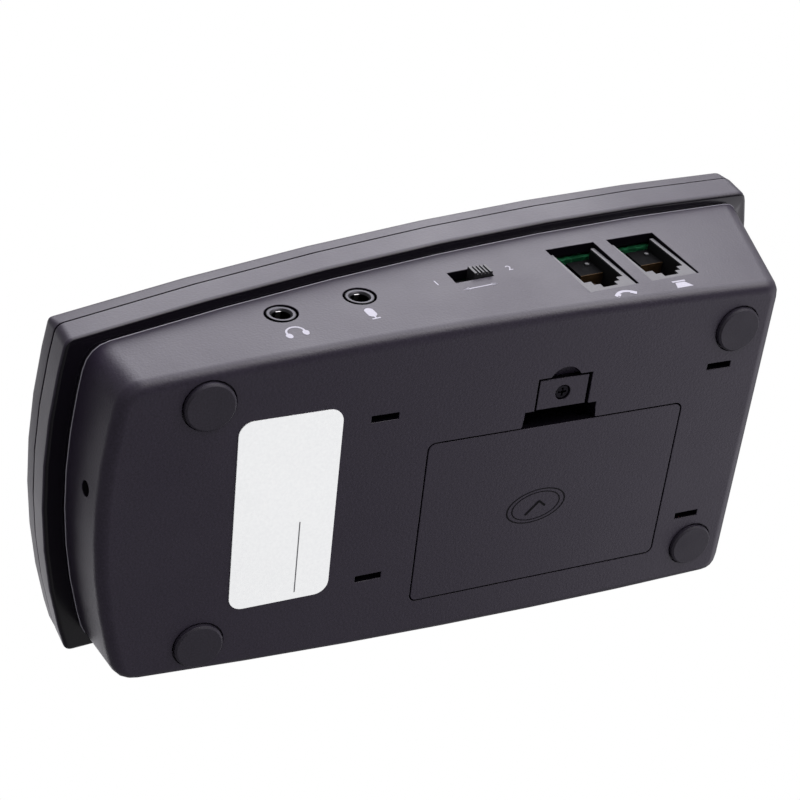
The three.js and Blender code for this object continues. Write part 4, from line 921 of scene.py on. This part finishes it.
def cell_material(name, low_y, high_y, band_low, band_high):
    """A dark jacket between low_y and high_y, bare steel beyond, and a band between the other two."""
    made = moulded(
        name, dark=(0.014, 0.015, 0.018), light=(0.024, 0.025, 0.029), gloss=(0.22, 0.32), relief=0.000005)
    tree, shader = opened(made)
    along = object_axes(tree)["Y"]
    band = between(tree, along, band_low, band_high)
    covered = between(tree, along, low_y, high_y)
    jacket = mixed_colour(tree, band, fed(shader, "Base Color"), band_copper)
    feed(tree, shader, {
        "Base Color": mixed_colour(tree, covered, can_steel, jacket),
        "Metallic": computed(tree, "SUBTRACT", 1.0, covered)})
    return made


for cell, plus_at_rear in (("battery_1", True), ("battery_2", False)):
    low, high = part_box(cell)
    jacket_low = low.y + jacket_margin
    jacket_high = high.y - jacket_margin
    band_from = jacket_high - band_width if plus_at_rear else jacket_low
    cell_jacket = cell_material(f"{cell}_jacket", jacket_low, jacket_high, band_from, band_from + band_width)
    finished(cell, "housing", cell_jacket, cell_edge)


# Display module: grey-green liquid crystal glass in a moulded frame, fixed to the control board.
# The liquid crystal shows no reading: its segments are only a shade darker than the glass around them.
display = moulded(
    "display_frame", dark=(0.19, 0.22, 0.15), light=(0.24, 0.27, 0.18), gloss=(0.3, 0.4), relief=0.000005)
dress(display, "display_module")

segment_ink = moulded(
    "segment_ink", dark=(0.135, 0.155, 0.110), light=(0.150, 0.172, 0.122), gloss=(0.3, 0.4),
    relief=0.000002)
digit_count = 8
digit_pitch = 0.0048
digit_width = 0.0030
digit_height = 0.0060
digit_stroke = 0.00055
digit_corner = 1.4 * digit_stroke
segment_depth = 0.00001
display_low, display_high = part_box("display_module")
digits = bmesh.new()
for digit in range(digit_count):
    digit_u = (digit - (digit_count - 1) / 2) * digit_pitch
    for bar_v in (-digit_height / 2, 0.0, digit_height / 2):
        art_bar(digits, digit_u, bar_v, digit_width - 2 * digit_stroke, digit_stroke)
    for bar_u in (-digit_width / 2, digit_width / 2):
        for bar_v in (-digit_height / 4, digit_height / 4):
            art_bar(digits, digit_u + bar_u, bar_v, digit_stroke, digit_height / 2 - digit_corner)
printed(
    "display_digits", digits, "display_module", "housing", segment_ink,
    (display_low + display_high) / 2, key_right, key_up, segment_depth)


# Display window: clear acrylic sheet, lightly tinted, set flush in the cover.
# A black border is printed on its face, and leaves the view of the glass clear.
window_edge = 0.00015
clear_index = 1.49
clear_relief = 0.000001
sheet_half = Vector((0.0250, 0.0155))
view_half = Vector((0.0225, 0.0125))


def clear_plastic(name, dark, light, gloss):
    """Clear plastic whose tint and gloss drift a little."""
    made = moulded(name, dark, light, gloss, clear_relief)
    shader = opened(made)[1]
    shader.inputs["Transmission Weight"].default_value = 1.0
    shader.inputs["IOR"].default_value = clear_index
    return made


window_tint = clear_plastic(
    "window_plastic", dark=(0.62, 0.66, 0.72), light=(0.68, 0.72, 0.78), gloss=(0.02, 0.04))
finished("display_window", "housing", window_tint, window_edge)

border_ink = moulded(
    "border_ink", dark=(0.004, 0.004, 0.005), light=(0.008, 0.008, 0.010), gloss=(0.25, 0.35),
    relief=0.000002)
window_low, window_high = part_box("display_window")
border_width = sheet_half - view_half
border_middle = (sheet_half + view_half) / 2
border = bmesh.new()
for side in (-1.0, 1.0):
    art_bar(border, 0.0, side * border_middle.y, 2 * sheet_half.x, border_width.y)
    art_bar(border, side * border_middle.x, 0.0, border_width.x, 2 * view_half.y)
printed(
    "window_border", border, "display_window", "housing", border_ink,
    (window_low + window_high) / 2, key_right, key_up, ink_depth)


# Record lamp: clear red plastic light guide, moulded in one piece.
# It is pressed into the cover above its diode.
lamp_edge = 0.0001
lamp = clear_plastic("lamp_plastic", dark=(0.62, 0.02, 0.02), light=(0.72, 0.03, 0.03), gloss=(0.08, 0.14))
finished("record_lamp", "housing", lamp, lamp_edge)


# Studio: a plain pale floor, a white surround, and large soft lamps.
# The camera looks from under the floor, so the floor shows from above only and lets the light through.
open_sky = 0.35
pale_ground = 0.81
horizon = (-0.15, 0.15)
sheen = (0.07, 0.50)
bright_way = Vector((0.45, 0.75, 0.50)).normalized()
screen_way = Vector((0.30, 0.45, -0.84)).normalized()
screen_edge = (0.80, 0.94)

floor_radius = 0.75
floor_depth = 0.0001
floor_steps = 96
floor_clear = (0.30, 0.70)           # the floor fades out between these distances from the middle
floor_tones = ((0.80, 0.80, 0.80), (0.84, 0.84, 0.84))
floor_clouds = 30.0
floor_gloss = 0.8


def studio_world():
    """White to the camera. As light it is open_sky above and pale_ground below. Gloss shows it as a soft
    slope between two levels, with one dark spot low on the lamp side, as a black screen there would give."""
    world = bpy.data.worlds.new("studio")
    world.use_nodes = True
    tree = world.node_tree
    tree.nodes.clear()
    way = add_node(tree, "ShaderNodeTexCoord").outputs["Generated"]
    height = add_node(tree, "ShaderNodeSeparateXYZ", {"Vector": way}).outputs["Z"]
    towards, near_screen = (
        add_node(tree, "ShaderNodeVectorMath", {0: way, 1: aim}, operation="DOT_PRODUCT").outputs["Value"]
        for aim in (bright_way, screen_way))
    light = mapped(tree, height, *horizon, pale_ground, open_sky)
    slope = mapped(tree, towards, -1.0, 1.0, *sheen)
    shown = computed(tree, "MULTIPLY", slope, mapped(tree, near_screen, *screen_edge, 1.0, 0.0))
    path = add_node(tree, "ShaderNodeLightPath").outputs
    glossy = computed(tree, "MAXIMUM", path["Is Glossy Ray"], path["Is Transmission Ray"])
    strength = mixed(tree, path["Is Camera Ray"], mixed(tree, glossy, light, shown), 1.0)
    background = add_node(tree, "ShaderNodeBackground", {
        "Color": (1.0, 1.0, 1.0, 1.0), "Strength": strength})
    out = tree.nodes.new("ShaderNodeOutputWorld")
    tree.links.new(background.outputs["Background"], out.inputs["Surface"])
    world.cycles.sampling_method = "NONE"
    bpy.context.scene.world = world


def floor_material():
    """Pale paint, seen by the camera from above only, and fading out away from the middle."""
    made, tree, shader = new_material("studio_floor")
    place = object_place(tree)
    cloud = add_node(tree, "ShaderNodeTexNoise", {"Vector": place, "Scale": floor_clouds, "Detail": 2.0})
    shader.inputs["Roughness"].default_value = floor_gloss
    feed(tree, shader, {"Base Color": mixed_colour(tree, cloud.outputs["Fac"], *floor_tones)})
    distance = add_node(tree, "ShaderNodeVectorMath", {0: place}, operation="LENGTH").outputs["Value"]
    fade = mapped(tree, distance, *floor_clear, 1.0, 0.0)
    camera_ray = add_node(tree, "ShaderNodeLightPath").outputs["Is Camera Ray"]
    from_below = add_node(tree, "ShaderNodeNewGeometry").outputs["Backfacing"]
    above = add_node(
        tree, "ShaderNodeMath", {0: camera_ray, 1: from_below}, operation="SUBTRACT", use_clamp=True)
    seen = computed(tree, "MULTIPLY", above.outputs["Value"], fade)
    clear = add_node(tree, "ShaderNodeBsdfTransparent").outputs["BSDF"]
    paint = add_node(tree, "ShaderNodeMixShader", {0: seen, 1: clear, 2: shader.outputs["BSDF"]})
    tree.links.new(paint.outputs["Shader"], tree.nodes["Material Output"].inputs["Surface"])
    return made


def soft_lamp(name, way, distance, width, height, radiance, tint):
    """An oblong lamp at that distance from the recorder's middle, facing it, with an even radiance."""
    data = bpy.data.lights.new(name, "AREA")
    data.shape = "RECTANGLE"
    data.size = width
    data.size_y = height
    data.energy = radiance * math.pi * width * height
    data.color = tint
    lamp_object = bpy.data.objects.new(name, data)
    bpy.context.scene.collection.objects.link(lamp_object)
    out = Vector(way).normalized()
    middle = (cad_box[0] + cad_box[1]) / 2
    turn = out.to_track_quat("Z", "Y").to_matrix().to_4x4()
    lamp_object.matrix_world = Matrix.Translation(middle + out * distance) @ turn
    lamp_object.visible_camera = False


floor_disc = bmesh.new()
bmesh.ops.create_circle(floor_disc, cap_ends=True, segments=floor_steps, radius=floor_radius)
bmesh.ops.translate(floor_disc, vec=(0.0, 0.0, -floor_depth), verts=floor_disc.verts)
floor_mesh = bpy.data.meshes.new("studio_floor")
floor_disc.to_mesh(floor_mesh)
floor_disc.free()
floor_mesh.materials.append(floor_material())
studio_floor = bpy.data.objects.new("studio_floor", floor_mesh)
bpy.context.scene.collection.objects.link(studio_floor)

studio_world()
soft_lamp(
    "key_lamp", way=(0.79, 0.34, 0.50), distance=1.1, width=1.0, height=1.9, radiance=3.5,
    tint=(0.95, 0.93, 1.0))
soft_lamp(
    "side_lamp", way=(0.85, 0.42, -0.26), distance=1.1, width=0.8, height=0.6, radiance=3.0,
    tint=(1.0, 0.97, 0.96))
soft_lamp(
    "rear_lamp", way=(-0.35, 0.85, -0.40), distance=0.9, width=0.8, height=0.8, radiance=1.0,
    tint=(0.94, 0.90, 1.0))
soft_lamp(
    "top_lamp", way=(-0.55, -0.30, 0.78), distance=1.1, width=0.9, height=0.9, radiance=0.9,
    tint=(0.96, 0.94, 1.0))

bpy.context.scene.view_settings.view_transform = "Standard"
